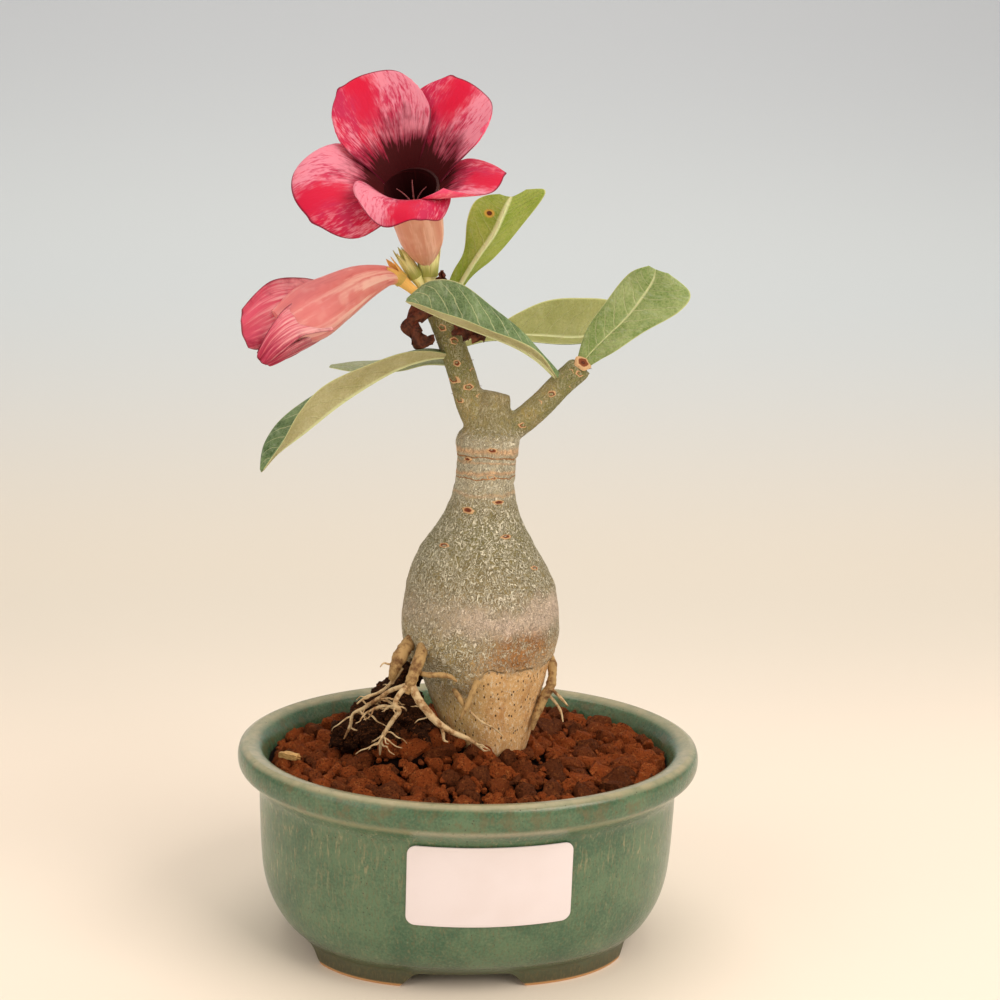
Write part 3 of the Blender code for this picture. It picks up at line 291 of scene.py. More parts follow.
def grid_normals(grid: Array) -> Array:
    """Unit directions square to a grid of places."""
    facing = np.cross(np.gradient(grid, axis=1), np.gradient(grid, axis=0))
    length = np.linalg.norm(facing, axis=2, keepdims=True)
    return facing / np.maximum(length, 1e-9)


def blade(name: str, grid: Array, over: Array, under: Array, paints: Sequence[Material]) -> Piece:
    """A thin closed body with two faces that meet at its rim.

    Args:
        name: The piece's name.
        grid: Places of its middle, rows along by columns across by three.
        over: How far its first face stands off the middle at each place.
        under: How far its second face stands off.
        paints: The finishes of the first and second face.

    Returns:
        The closed blade.
    """
    facing = grid_normals(grid)
    faces = []
    for share, paint in ((over, paints[0]), (-under, paints[-1])):
        face = sheet(name + "_face", grid + facing * share[..., None])
        face.data.materials.append(paint)
        faces.append(face)
    edit(faces[1])
    bpy.ops.mesh.flip_normals()
    whole = join(faces, name)
    weld(whole)
    return whole


def finish(piece: Piece, name: str, nodes: Sequence[str], angle: Optional[float] = None) -> Piece:
    """Turn a piece into metres, smooth its shading and hang it on the frame.

    Args:
        piece: The piece, drawn in millimetres.
        name: Its final name.
        nodes: The solids that it stands for.
        angle: The angle in degrees from which an edge stays sharp, if any.

    Returns:
        The piece.
    """
    take(piece)
    bpy.ops.object.transform_apply(location=True, rotation=True, scale=True)
    piece.name = name
    piece.data.name = name
    piece.data.transform(Matrix.Scale(MM, 4))
    if angle is None:
        bpy.ops.object.shade_smooth()
    else:
        bpy.ops.object.shade_smooth_by_angle(angle=math.radians(angle))
    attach(piece, "root")
    if nodes:
        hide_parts(*nodes)
    LOG.info("%s: %d faces", name, len(piece.data.polygons))
    return piece


# Painting with nodes

class Signal:
    """An output socket that takes part in sums as a number would."""

    def __init__(self, paint: "Paint", socket: bpy.types.NodeSocket) -> None:
        """Keep the paint and the socket."""
        self.paint = paint
        self.socket = socket

    def __add__(self, other: "Number") -> "Signal":
        """The sum."""
        return self.paint.maths("ADD", self, other)

    def __sub__(self, other: "Number") -> "Signal":
        """The difference."""
        return self.paint.maths("SUBTRACT", self, other)

    def __rsub__(self, other: "Number") -> "Signal":
        """The difference the other way round."""
        return self.paint.maths("SUBTRACT", other, self)

    def __mul__(self, other: "Number") -> "Signal":
        """The product."""
        return self.paint.maths("MULTIPLY", self, other)

    def __truediv__(self, other: "Number") -> "Signal":
        """The quotient."""
        return self.paint.maths("DIVIDE", self, other)

    def __rtruediv__(self, other: "Number") -> "Signal":
        """The quotient the other way round."""
        return self.paint.maths("DIVIDE", other, self)

    def __pow__(self, other: "Number") -> "Signal":
        """The power."""
        return self.paint.maths("POWER", self, other)

    def __abs__(self) -> "Signal":
        """The distance from nothing."""
        return self.paint.maths("ABSOLUTE", self)

    __radd__ = __add__
    __rmul__ = __mul__

    def fraction(self) -> "Signal":
        """What is left above the whole number below."""
        return self.paint.maths("FRACT", self)

    def least(self, other: "Number") -> "Signal":
        """The smaller of two."""
        return self.paint.maths("MINIMUM", self, other)

    def most(self, other: "Number") -> "Signal":
        """The larger of two."""
        return self.paint.maths("MAXIMUM", self, other)

    def rise(self, low: float, high: float) -> "Signal":
        """A soft step from 0 at low to 1 at high, or falling where low is above high."""
        made = self.paint.node("ShaderNodeMapRange", {"interpolation_type": "SMOOTHSTEP"},
                               {0: self, 1: low, 2: high, 3: 0.0, 4: 1.0})
        return Signal(self.paint, made.outputs[0])

    def near(self, centre: float, width: float) -> "Signal":
        """1 at the centre, falling softly to 0 at width from it."""
        return abs(self - centre).rise(width, 0.0)


Number = Union[float, Signal]


class Paint:
    """A material in the making: one surface shader and the nodes that feed it."""

    def __init__(self, name: str, **constants: Any) -> None:
        """Start a material with the constants set on its shader's own sockets."""
        self.material = bpy.data.materials.new(name)
        self.material.use_nodes = True
        self.tree = self.material.node_tree
        self.tree.nodes.clear()
        self.shader = self.tree.nodes.new("ShaderNodeBsdfPrincipled")
        output = self.tree.nodes.new("ShaderNodeOutputMaterial")
        self.tree.links.new(self.shader.outputs[0], output.inputs["Surface"])
        for socket, value in constants.items():
            self.shader.inputs[socket.replace("_", " ")].default_value = value

    def node(self, kind: str, settings: Dict[str, Any], inputs: Dict[Union[str, int], Any]) -> bpy.types.Node:
        """Make a node of a kind, with its settings first and then its inputs.

        Args:
            kind: The node's type.
            settings: Its properties by name.
            inputs: Signals or constants by socket name or number.

        Returns:
            The node.
        """
        made = self.tree.nodes.new(kind)
        for name, value in settings.items():
            setattr(made, name, value)
        for key, value in inputs.items():
            if isinstance(value, Signal):
                self.tree.links.new(value.socket, made.inputs[key])
            elif isinstance(value, tuple) and made.inputs[key].type == "RGBA":
                made.inputs[key].default_value = (*value, 1.0)
            else:
                made.inputs[key].default_value = value
        return made

    def maths(self, operation: str, first: Number, second: Optional[Number] = None) -> Signal:
        """One sum of numbers."""
        inputs = {0: first}
        if second is not None:
            inputs[1] = second
        return Signal(self, self.node("ShaderNodeMath", {"operation": operation}, inputs).outputs[0])

    def place(self) -> Signal:
        """The point of the surface, in millimetres."""
        seat = self.node("ShaderNodeTexCoord", {}, {})
        return self.stretch(Signal(self, seat.outputs["Object"]), (1.0 / MM,) * 3)

    def stretch(self, vector: Signal, by: Colour) -> Signal:
        """A vector with each part multiplied."""
        made = self.node("ShaderNodeVectorMath", {"operation": "MULTIPLY"}, {0: vector, 1: by})
        return Signal(self, made.outputs[0])

    def shift(self, vector: Signal, by: Union[Signal, Colour]) -> Signal:
        """A vector moved by another."""
        made = self.node("ShaderNodeVectorMath", {"operation": "ADD"}, {0: vector, 1: by})
        return Signal(self, made.outputs[0])

    def parts(self, vector: Signal) -> Tuple[Signal, Signal, Signal]:
        """The three parts of a vector."""
        made = self.node("ShaderNodeSeparateXYZ", {}, {0: vector})
        return tuple(Signal(self, output) for output in made.outputs)

    def vector(self, x: Number, y: Number, z: Number = 0.0) -> Signal:
        """A vector of three parts."""
        return Signal(self, self.node("ShaderNodeCombineXYZ", {}, {0: x, 1: y, 2: z}).outputs[0])

    def map(self) -> Tuple[Signal, Signal]:
        """Across and along, from the piece's own map."""
        made = self.node("ShaderNodeUVMap", {"uv_map": "UVMap"}, {})
        across, along, _ = self.parts(Signal(self, made.outputs[0]))
        return across, along

    def noise(self, vector: Signal, scale: float, detail: float = 2.0, rough: float = 0.5,
              twist: float = 0.0) -> Signal:
        """Clouds of 0 to 1 with a number of them to the millimetre."""
        made = self.node("ShaderNodeTexNoise", {}, {"Vector": vector, "Scale": scale, "Detail": detail,
                                                    "Roughness": rough, "Distortion": twist})
        return Signal(self, made.outputs[0])

    def cells(self, vector: Signal, scale: float, feature: str = "F1") -> Signal:
        """Distance in a pattern of cells, to their seeds or to their edges."""
        made = self.node("ShaderNodeTexVoronoi", {"feature": feature}, {"Vector": vector, "Scale": scale})
        return Signal(self, made.outputs["Distance"])

    def mark(self, name: str) -> Signal:
        """A number that the mesh carries under a name."""
        made = self.node("ShaderNodeAttribute", {"attribute_name": name}, {})
        return Signal(self, made.outputs["Fac"])

    def mix(self, first: Any, second: Any, share: Number) -> Signal:
        """A blend of two colours."""
        made = self.node("ShaderNodeMix", {"data_type": "RGBA"}, {0: share, 6: first, 7: second})
        return Signal(self, made.outputs[2])

    def layers(self, base: Any, *coats: Tuple[Any, Number]) -> Signal:
        """Colours laid over a base in order, each with the share that covers."""
        for colour, share in coats:
            base = self.mix(base, colour, share)
        return base

    def relief(self, height: Signal, depth: float) -> Signal:
        """A bumpy surface direction, from a height of 0 to 1 and a depth in millimetres."""
        inputs = {"Strength": 1.0, "Distance": depth * MM, "Height": height}
        return Signal(self, self.node("ShaderNodeBump", {}, inputs).outputs[0])

    def feed(self, **signals: Signal) -> Material:
        """Link signals to the shader's sockets and hand over the material."""
        for name, signal in signals.items():
            self.tree.links.new(signal.socket, self.shader.inputs[name.replace("_", " ")])
        return self.material


@dataclass(frozen=True)
class GlazeFinish:
    """Celadon glaze that breaks to beige on the rim and pools dark over the foot; its pale drips grow towards
    the oval's ends as painted reflection.
    """

    green: Colour = seen(54, 86, 58)
    pale_green: Colour = seen(90, 112, 78)
    drip_and_sheen: Colour = seen(158, 138, 98)
    brown: Colour = seen(104, 88, 54)
    crest: Colour = seen(176, 160, 122)
    foot: Colour = seen(72, 62, 38)
    clay: Colour = seen(200, 142, 88)
    pinhole: Colour = seen(48, 40, 26)

    def material(self) -> Material:
        """The finish as a material."""
        paint = Paint("glaze_celadon", Specular_IOR_Level=0.55, Coat_Roughness=0.08)
        place = paint.place()
        x, y, z = paint.parts(place)
        runs = paint.noise(paint.stretch(place, (1.0, 1.0, 0.2)), 0.95, 5.0, 0.72, 0.5)
        clouds = paint.noise(place, 0.07, 3.0, 0.55)
        grain = paint.noise(place, 1.3, 3.0, 0.6)
        fine_runs = paint.noise(paint.stretch(place, (1.0, 1.0, 0.3)), 1.7, 4.0, 0.7, 0.3)
        crest_noise = paint.noise(place, 0.25, 3.0, 0.6)
        lip = z.rise(50.0, 53.5)
        under_lip = z.near(44.0, 17.0)
        # The ends of the oval get more pale drip: painted reflection where the body turns away, laid over the
        # real glaze runs.
        sides = abs(x).rise(24.0, 62.0)
        drips_and_end_sheen = (runs.rise(0.5, 0.72) * (0.2 + under_lip * 0.4 + sides * 0.35) * (1.0 - lip * 0.7)).least(0.8)
        flecks = grain.rise(0.56, 0.72) * 0.35
        pits = paint.cells(place, 0.62).rise(0.15, 0.05) * clouds.rise(0.42, 0.6)
        crest = z.rise(60.3, 61.6) * (0.3 + crest_noise * 0.9)
        shoulder = z.near(53.4, 1.9) * (0.25 + runs * 0.6)
        foot_edge = z + (runs - 0.5) * 5.0 + (clouds - 0.5) * 4.0
        base = paint.mix(self.green, self.pale_green, (clouds * 0.6 + grain * 0.5).rise(0.38, 0.68))
        colour = paint.layers(
            base, (self.brown, fine_runs.rise(0.5, 0.7) * 0.6), (self.drip_and_sheen, drips_and_end_sheen), (self.pale_green, flecks),
            (self.brown, lip * crest_noise.rise(0.48, 0.66) * 0.5),
            (self.crest, shoulder), (self.crest, crest.least(1.0)),
            (self.foot, foot_edge.rise(13.0, 1.0) * 0.9),
            (self.brown, z.rise(9.0, 3.0) * fine_runs.rise(0.5, 0.62) * 0.7), (self.pinhole, pits * 0.85),
            (self.clay, z.rise(1.1, 0.5)))
        roughness = 0.2 + flecks * 0.2 + drips_and_end_sheen * 0.16 + z.rise(10.0, 3.0) * 0.25 + z.rise(1.1, 0.5) * 0.25
        waves = paint.noise(place, 0.16, 2.0, 0.5)
        height = waves * 0.6 + grain * 0.12 + runs * 0.16 - pits * 0.35
        return paint.feed(Base_Color=colour, Roughness=roughness, Normal=paint.relief(height, 0.4))


@dataclass(frozen=True)
class PaperFinish:
    """Smooth white label paper with a faint fibre."""

    white: Colour = seen(236, 216, 208)
    shade: Colour = seen(226, 204, 194)

    def material(self) -> Material:
        """The finish as a material."""
        paint = Paint("label_paper", Specular_IOR_Level=0.4)
        place = paint.place()
        fibre = paint.noise(paint.stretch(place, (0.5, 0.5, 1.6)), 2.6, 4.0, 0.7)
        cloud = paint.noise(place, 0.06, 2.0, 0.5)
        colour = paint.mix(self.white, self.shade, fibre * 0.3 + cloud.rise(0.4, 0.75) * 0.4)
        return paint.feed(Base_Color=colour, Roughness=0.42 + fibre * 0.12,
                          Normal=paint.relief(fibre, 0.02))


@dataclass(frozen=True)
class GranuleFinish:
    """Porous red lava that varies in tone from stone to stone, with orange dust and painted highlight on its
    raised spots, and painted shade in its pores, in the low spots of its skin and on the fill between the
    stones.
    """

    red: Colour = seen(160, 74, 30)
    brown: Colour = seen(108, 54, 26)
    rust_and_highlight: Colour = seen(214, 126, 64)
    pit_and_gap_shade: Colour = seen(28, 9, 4)

    def material(self) -> Material:
        """The finish as a material."""
        paint = Paint("lava_granules", Specular_IOR_Level=0.12)
        place = paint.place()
        tint = paint.mark("tint")
        rough = paint.noise(place, 0.8, 5.0, 0.75)
        pores = paint.cells(paint.shift(place, paint.vector(rough, rough, rough)), 1.15).rise(0.32, 0.12)
        fine = paint.noise(place, 3.2, 3.0, 0.7)
        # Raised spots of the rough skin turn orange: partly dust, partly painted highlight.
        dust_and_highlight = rough.rise(0.5, 0.72)
        # Painted shade: near black in the pores, in the low spots of the fine grain and on the fill (tint 0)
        # between the stones.
        colour = paint.layers(
            paint.mix(self.brown, self.red, tint.rise(0.1, 0.75)), (self.rust_and_highlight, dust_and_highlight * (0.25 + tint * 0.65)),
            (self.pit_and_gap_shade, pores * 0.65), (self.pit_and_gap_shade, fine.rise(0.48, 0.34) * 0.5),
            (self.pit_and_gap_shade, tint.rise(0.08, 0.02)))
        height = rough * 0.8 + fine * 0.45 - pores * 0.7
        return paint.feed(Base_Color=colour, Roughness=0.86 + fine * 0.12, Normal=paint.relief(height, 1.5))


@dataclass(frozen=True)
class PeatFinish:
    """Dry black peat."""

    black: Colour = seen(44, 22, 11)
    brown: Colour = seen(128, 72, 36)

    def material(self) -> Material:
        """The finish as a material."""
        paint = Paint("dry_peat", Specular_IOR_Level=0.12)
        place = paint.place()
        crumbs = paint.noise(place, 0.8, 5.0, 0.75)
        fibres = paint.noise(paint.stretch(place, (0.4, 1.6, 0.9)), 1.6, 3.0, 0.7, 1.0)
        colour = paint.layers(self.black, (self.brown, fibres.rise(0.52, 0.68) * 0.8),
                              (self.brown, crumbs.rise(0.55, 0.72) * 0.6))
        return paint.feed(Base_Color=colour, Roughness=0.85 + crumbs * 0.14,
                          Normal=paint.relief(crumbs + fibres * 0.4, 0.9))


@dataclass(frozen=True)
class BarkFinish:
    """Bark of the caudex and branches, and the bare skin of its lower root."""

    green: Colour = seen(118, 110, 60)
    grey: Colour = seen(148, 124, 84)
    cream: Colour = seen(252, 232, 198)
    band: Colour = seen(242, 208, 180)
    ring: Colour = seen(236, 182, 132)
    crack_and_crease_shade: Colour = seen(84, 70, 42)
    young: Colour = seen(124, 120, 62)
    root: Colour = seen(226, 172, 112)
    root_green: Colour = seen(200, 166, 104)
    stain: Colour = seen(178, 112, 54)
    speck: Colour = seen(60, 34, 18)
    root_line: float = 88.0

    def material(self) -> Material:
        """The finish as a material."""
        paint = Paint("caudex_bark", Specular_IOR_Level=0.22)
        place = paint.place()
        x, y, z = paint.parts(place)
        cloud = paint.noise(place, 0.05, 3.0, 0.55)
        blur = paint.noise(place, 0.16, 3.0, 0.6)
        worms = paint.noise(paint.stretch(place, (1.0, 1.0, 0.62)), 0.62, 1.6, 0.5, 1.8)
        line = abs(worms - 0.5).rise(0.05, 0.018)
        worms_fine = paint.noise(paint.stretch(place, (1.0, 1.0, 0.7)), 1.1, 1.2, 0.5, 1.6)
        fine_line = abs(worms_fine - 0.5).rise(0.07, 0.018)
        grain = paint.noise(place, 3.4, 3.0, 0.65)

        edge = self.root_line + (blur - 0.5) * 5.0 - x.rise(4.0, -8.0) * 9.0
        left = x.rise(5.0, -4.0)
        ragged_edge = edge - z + (grain - 0.5) * 2.0 + (blur - 0.5) * left * 9.0
        bare = (ragged_edge / (1.0 + left * 2.6)).rise(-1.6, 1.8)
        neck = z.rise(132.0, 143.0) * z.rise(158.0, 152.0)
        young = z.rise(153.0, 159.0)
        stub = young * x.rise(-1.5, 0.5) * x.rise(10.2, 9.0)
        shoulder = z.near(127.0, 19.0)
        lower = z.rise(103.0, 92.0) * (1.0 - bare) * x.rise(6.0, -8.0)

        mossy = (shoulder * 0.6 + cloud * 0.6 + lower * 0.3 - 0.2).least(1.0)
        ground = paint.layers(self.grey, (self.green, mossy), (self.cream, neck * 0.3),
                              (self.root_green, lower * 0.55))
        lines = (line * 0.95).most(fine_line * 0.5) * (0.6 + cloud * 0.7 + lower * 0.3).least(1.0)
        lines = lines * (1.0 - young * 0.7)
        tan = (z + (blur - 0.5) * 8.0).rise(99.0, 91.0) * x.rise(-9.0, 4.0)
        band_edge = (blur - 0.5) * 14.0
        band = (z + band_edge).near(103.6, 8.5) * (0.34 + x.rise(-16.0, 6.0) * 0.66) * (0.62 + line * 0.35)
        ring_wave = z + (blur - 0.5) * 3.2
        rings = (ring_wave.near(151.0, 1.6).most(ring_wave.near(144.4, 1.0)).most(
            ring_wave.near(138.2, 0.9) * 0.8).most(ring_wave.near(147.6, 0.7) * 0.7)) * neck
        ring_lines = abs(ring_wave - 149.2).rise(0.35, 0.05).most(abs(ring_wave - 143.0).rise(0.3, 0.05)) * neck
        cracks = abs(worms - 0.42).rise(0.03, 0.0) * (0.35 + lower * 0.2)
        stain = blur.rise(0.3, 0.55) * (z + (cloud - 0.5) * 8.0).near(94.0, 9.0) * x.near(12.0, 14.0)
        stain = (stain * 1.7).least(1.0)

        fleck = paint.noise(paint.stretch(place, (1.0, 1.0, 0.5)), 1.6, 3.0, 0.7)
        streaks = paint.noise(paint.stretch(place, (1.0, 1.0, 0.35)), 0.3, 3.0, 0.6)
        skin = paint.layers(
            paint.mix(self.root_green, self.root, x.rise(-6.0, 7.0) * 0.8 + blur * 0.2),
            (self.cream, fleck.rise(0.5, 0.68) * 0.6),
            (self.stain, streaks.rise(0.5, 0.68) * 0.5),
            (self.stain, grain.rise(0.5, 0.36) * 0.4),
            (self.speck, paint.cells(paint.stretch(place, (1.0, 1.0, 0.6)), 0.8).rise(0.26, 0.14)
             * blur.rise(0.4, 0.5) * 0.95), (self.speck, fleck.rise(0.36, 0.28) * 0.8))
        upper = paint.layers(
            ground, (self.young, young * 0.85), (self.ring, young * fleck.rise(0.56, 0.7) * 0.3),
            (self.root, young * cloud.rise(0.46, 0.66) * 0.25), (self.grey, stub * 0.5),
            (self.root, tan * 0.75), (self.cream, lines), (self.band, band),
            (self.ring, (rings * 0.8 + neck * cloud.rise(0.5, 0.7) * 0.4).least(0.9)), (self.crack_and_crease_shade, cracks),
            (self.stain, ring_lines * 0.9), (self.stain, stain * 0.8 * (1.0 - line * 0.5)))
        # Painted shade: a dark line along the crease where the bark meets the bare root.
        crease = (edge - z).near(0.1, 0.5) * blur.rise(0.46, 0.56) * (1.0 - left) * 0.6
        colour = paint.layers(upper, (skin, bare), (self.crack_and_crease_shade, crease),
                              (self.crack_and_crease_shade, grain.rise(0.42, 0.25) * 0.3))
        height = (line * 0.5 + fine_line * 0.22 - cracks * 0.5) * (1.0 - bare) * (1.0 - young * 0.6) \
            + grain * 0.25 + fleck * bare * 0.4 + rings * 0.4 - crease * 0.9
        return paint.feed(Base_Color=colour, Roughness=0.62 + grain * 0.25,
                          Normal=paint.relief(height, 0.9))


@dataclass(frozen=True)
class ScarFinish:
    """Leaf scar: a cream rim round a brown heart."""

    rim: Colour = seen(206, 160, 112)
    heart: Colour = seen(124, 62, 32)
    dark: Colour = seen(74, 28, 16)

    def material(self) -> Material:
        """The finish as a material."""
        paint = Paint("leaf_scar", Specular_IOR_Level=0.3)
        _, out = paint.map()
        place = paint.place()
        grain = paint.noise(place, 1.6, 3.0, 0.6)
        reach = out + (grain - 0.5) * 0.3
        colour = paint.layers(
            self.rim, (self.heart, reach.rise(0.66, 0.5)), (self.dark, reach.rise(0.32, 0.12) * 0.8),
            (self.heart, grain.rise(0.6, 0.8) * 0.4))
        return paint.feed(Base_Color=colour, Roughness=0.6 + grain * 0.3, Normal=paint.relief(grain, 0.25))


@dataclass(frozen=True)
class RootFinish:
    """Pale skin of the fine roots, with dark brown blotches, and darker brown towards the soil."""

    cream: Colour = seen(214, 180, 132)
    tan: Colour = seen(164, 118, 72)
    dark_brown: Colour = seen(84, 48, 28)

    def material(self) -> Material:
        """The finish as a material."""
        paint = Paint("fine_roots", Specular_IOR_Level=0.35)
        place = paint.place()
        _, _, z = paint.parts(place)
        blotch = paint.noise(place, 0.35, 4.0, 0.65)
        grain = paint.noise(place, 2.4, 3.0, 0.7)
        colour = paint.layers(paint.mix(self.cream, self.tan, blotch.rise(0.42, 0.64)),
                              (self.dark_brown, blotch.rise(0.56, 0.7) * 0.6),
                              (self.dark_brown, z.rise(66.0, 61.0) * 0.4))
        return paint.feed(Base_Color=colour, Roughness=0.6 + grain * 0.25, Normal=paint.relief(grain, 0.25))


class LeafFace(Enum):
    """Which face of a leaf a finish is for."""

    UPPER = "upper"
    UNDER = "under"


@dataclass(frozen=True)
class LeafFinish:
    """Leathery leaf with a pale midrib, curved side veins and a fine net between them, and pale streaks of
    painted highlight.
    """

    face: LeafFace
    green: Colour
    light: Colour
    rib: Colour = seen(218, 214, 156)
    rim: Colour = seen(204, 200, 138)
    streak_highlight: Colour = seen(188, 194, 158)
    spot: Optional[Tuple[float, float]] = None

    def material(self) -> Material:
        """The finish as a material."""
        upper = self.face is LeafFace.UPPER
        paint = Paint("leaf_" + self.face.value, Specular_IOR_Level=0.3 if upper else 0.2,
                      Subsurface_Weight=0.12, Subsurface_Radius=(0.5, 0.8, 0.2), Subsurface_Scale=0.001)
        across, along = paint.map()
        place = paint.place()
        side = abs(across * 2.0 - 1.0)
        cloud = paint.noise(place, 0.1, 3.0, 0.6)
        grain = paint.noise(place, 1.6, 4.0, 0.65)
        sway = (paint.noise(place, 0.22, 2.0, 0.5) - 0.5) * 0.55
        lane = along * 12.0 - side ** 1.4 * 2.1 + across.rise(0.49, 0.51) * 0.45 + sway
        vein = (abs(lane.fraction() - 0.5) * 2.0).rise(0.86, 0.99)
        vein = vein * side.rise(0.98, 0.7) * along.rise(0.02, 0.2)
        twigs = paint.cells(place, 0.85, "DISTANCE_TO_EDGE").rise(0.09, 0.02)
        rib = (side + along * 0.03).rise(0.085 if upper else 0.12, 0.03)
        rim = side.rise(0.955, 0.995)
        # Pale streaks along the blade: painted highlight, full on the upper face and weak on the under face.
        streaks = paint.noise(paint.vector(across * 5.0, along * 30.0), 1.0, 3.0, 0.6).rise(0.5, 0.75)
        strength = 1.0 if upper else 0.3
        colour = paint.layers(
            paint.mix(self.green, self.light, (cloud * 0.6 + grain * 0.5).rise(0.35, 0.8)),
            (self.streak_highlight, streaks * 0.4 * strength), (self.light, twigs * 0.35 * strength),
            (self.rib, vein * 0.5 * strength), (self.rib, rib * 0.9), (self.rim, rim * 0.8),
            (self.light, along.rise(0.14, 0.0) * 0.5))
        if self.spot:
            gap = ((across - self.spot[0]) * 16.0) ** 2.0 + ((along - self.spot[1]) * 40.0) ** 2.0
            colour = paint.layers(colour, (seen(196, 150, 60), gap.rise(2.6, 1.0)),
                                  (seen(96, 44, 18), gap.rise(0.8, 0.3)))
        height = vein * (-0.5 if upper else 0.4) + grain * 0.22 - twigs * 0.2
        roughness = (0.34 if upper else 0.55) + grain * 0.2
        return paint.feed(Base_Color=colour, Roughness=roughness, Normal=paint.relief(height, 0.28))


@dataclass(frozen=True)
class PetalFinish:
    """Fresh petal: crimson heart line, rose mottled with white, black-red throat."""

    crimson: Colour = seen(206, 16, 50)
    rose: Colour = seen(190, 40, 74)
    white: Colour = seen(232, 150, 160)
    maroon: Colour = seen(66, 5, 9)
    wine: Colour = seen(124, 14, 40)
    edge: Colour = seen(104, 16, 40)

    def material(self) -> Material:
        """The finish as a material."""
        paint = Paint("bloom_petal", Specular_IOR_Level=0.15, Subsurface_Weight=0.1,
                      Subsurface_Radius=(1.0, 0.3, 0.3), Subsurface_Scale=0.001)
        across, along = paint.map()
        place = paint.place()
        side = across * 2.0 - 1.0
        patch = paint.noise(place, 0.11, 3.0, 0.6)
        streaks = paint.noise(paint.vector(side * 7.0, along * 3.0, 4.0), 1.0, 4.0, 0.62)
        fine = paint.noise(paint.vector(side * 30.0, along * 9.0, 1.0), 1.0, 3.0, 0.6)
        flame = paint.noise(paint.vector(side * 17.0, along * 3.0, 3.0), 1.0, 4.0, 0.65)
        heart = abs(side + 0.1 + (streaks - 0.5) * 0.7).rise(0.38, 0.04) * along.rise(0.3, 0.6)
        one_side = side.rise(-0.5, 0.7)
        pale = (streaks * 0.45 + fine * 0.6 + patch * 0.35 + one_side * 0.16).rise(0.66, 0.88) * (1.0 - heart)
        throat_edge = along + (flame - 0.5) * 0.6 + (patch - 0.5) * 0.5 + abs(side) * 0.04
        throat = throat_edge.rise(0.3, 0.2)
        halo = throat_edge.rise(0.5, 0.28)
        rim = abs(side).rise(0.945, 0.985).most(along.rise(0.975, 0.992))
        colour = paint.layers(
            self.rose, (self.crimson, patch.rise(0.42, 0.66) * 0.7), (self.white, pale * 0.7),
            (self.crimson, heart * 0.8), (self.wine, halo * 0.8), (self.maroon, throat),
            (self.edge, rim * 0.85))
        height = streaks * 0.5 + fine * 0.3
        return paint.feed(Base_Color=colour, Roughness=0.52 + fine * 0.18,
                          Normal=paint.relief(height, 0.45))


@dataclass(frozen=True)
class PetalBackFinish:
    """The outer face of a fresh petal: rose, with a pale foot."""

    rose: Colour = seen(234, 74, 104)
    pale: Colour = seen(244, 156, 150)
    crimson: Colour = seen(222, 34, 66)

    def material(self) -> Material:
        """The finish as a material."""
        paint = Paint("bloom_petal_back", Specular_IOR_Level=0.15, Subsurface_Weight=0.2,
                      Subsurface_Radius=(1.0, 0.3, 0.3), Subsurface_Scale=0.001)
        across, along = paint.map()
        place = paint.place()
        side = across * 2.0 - 1.0
        streaks = paint.noise(paint.vector(side * 10.0, along * 2.0, 1.0), 1.0, 4.0, 0.6)
        fine = paint.noise(place, 1.1, 3.0, 0.6)
        colour = paint.layers(self.rose, (self.pale, (streaks * 0.8 + fine * 0.3).rise(0.5, 0.8)),
                              (self.crimson, abs(side + 0.05).rise(0.35, 0.05) * 0.8),
                              (self.pale, along.rise(0.3, 0.05) * 0.6))
        return paint.feed(Base_Color=colour, Roughness=0.5 + fine * 0.15, Normal=paint.relief(streaks, 0.25))


@dataclass(frozen=True)
class TubeFinish:
    """Wall of a corolla's tube, ribbed by long veins."""

    name: str
    flesh: Colour
    light: Colour
    vein: Colour
    veins: float = 26.0
    far_end: Optional[Colour] = None
    near_end: Optional[Colour] = None

    def material(self) -> Material:
        """The finish as a material."""
        paint = Paint(self.name, Specular_IOR_Level=0.4, Subsurface_Weight=0.2,
                      Subsurface_Radius=(1.0, 0.4, 0.3), Subsurface_Scale=0.001)
        across, along = paint.map()
        place = paint.place()
        warp = paint.noise(place, 0.18, 2.0, 0.5)
        lanes = paint.noise(paint.vector(across * self.veins, along * 1.3, warp), 1.0, 3.0, 0.55)
        fine = paint.noise(place, 1.3, 3.0, 0.6)
        colour = paint.layers(
            self.flesh, (self.light, lanes.rise(0.48, 0.66) * 0.85), (self.vein, lanes.rise(0.46, 0.3) * 0.6),
            (self.light, warp.rise(0.5, 0.75) * 0.4))
        if self.far_end:
            colour = paint.mix(colour, self.far_end, along.rise(0.4, 0.85) * 0.5)
        if self.near_end:
            colour = paint.mix(colour, self.near_end, along.rise(0.16, 0.0) * 0.8)
        return paint.feed(Base_Color=colour, Roughness=0.42 + fine * 0.2, Normal=paint.relief(lanes, 0.3))


@dataclass(frozen=True)
class ThroatFinish:
    """The black-red inside of the open bloom's tube."""

    maroon: Colour = seen(50, 4, 7)
    red: Colour = seen(84, 10, 14)

    def material(self) -> Material:
        """The finish as a material."""
        paint = Paint("bloom_throat", Specular_IOR_Level=0.35)
        across, along = paint.map()
        lines = paint.noise(paint.vector(across * 30.0, along * 1.5), 1.0, 3.0, 0.6)
        colour = paint.mix(self.maroon, self.red, lines.rise(0.56, 0.72) * 0.5)
        return paint.feed(Base_Color=colour, Roughness=0.45 + lines * 0.2, Normal=paint.relief(lines, 0.3))


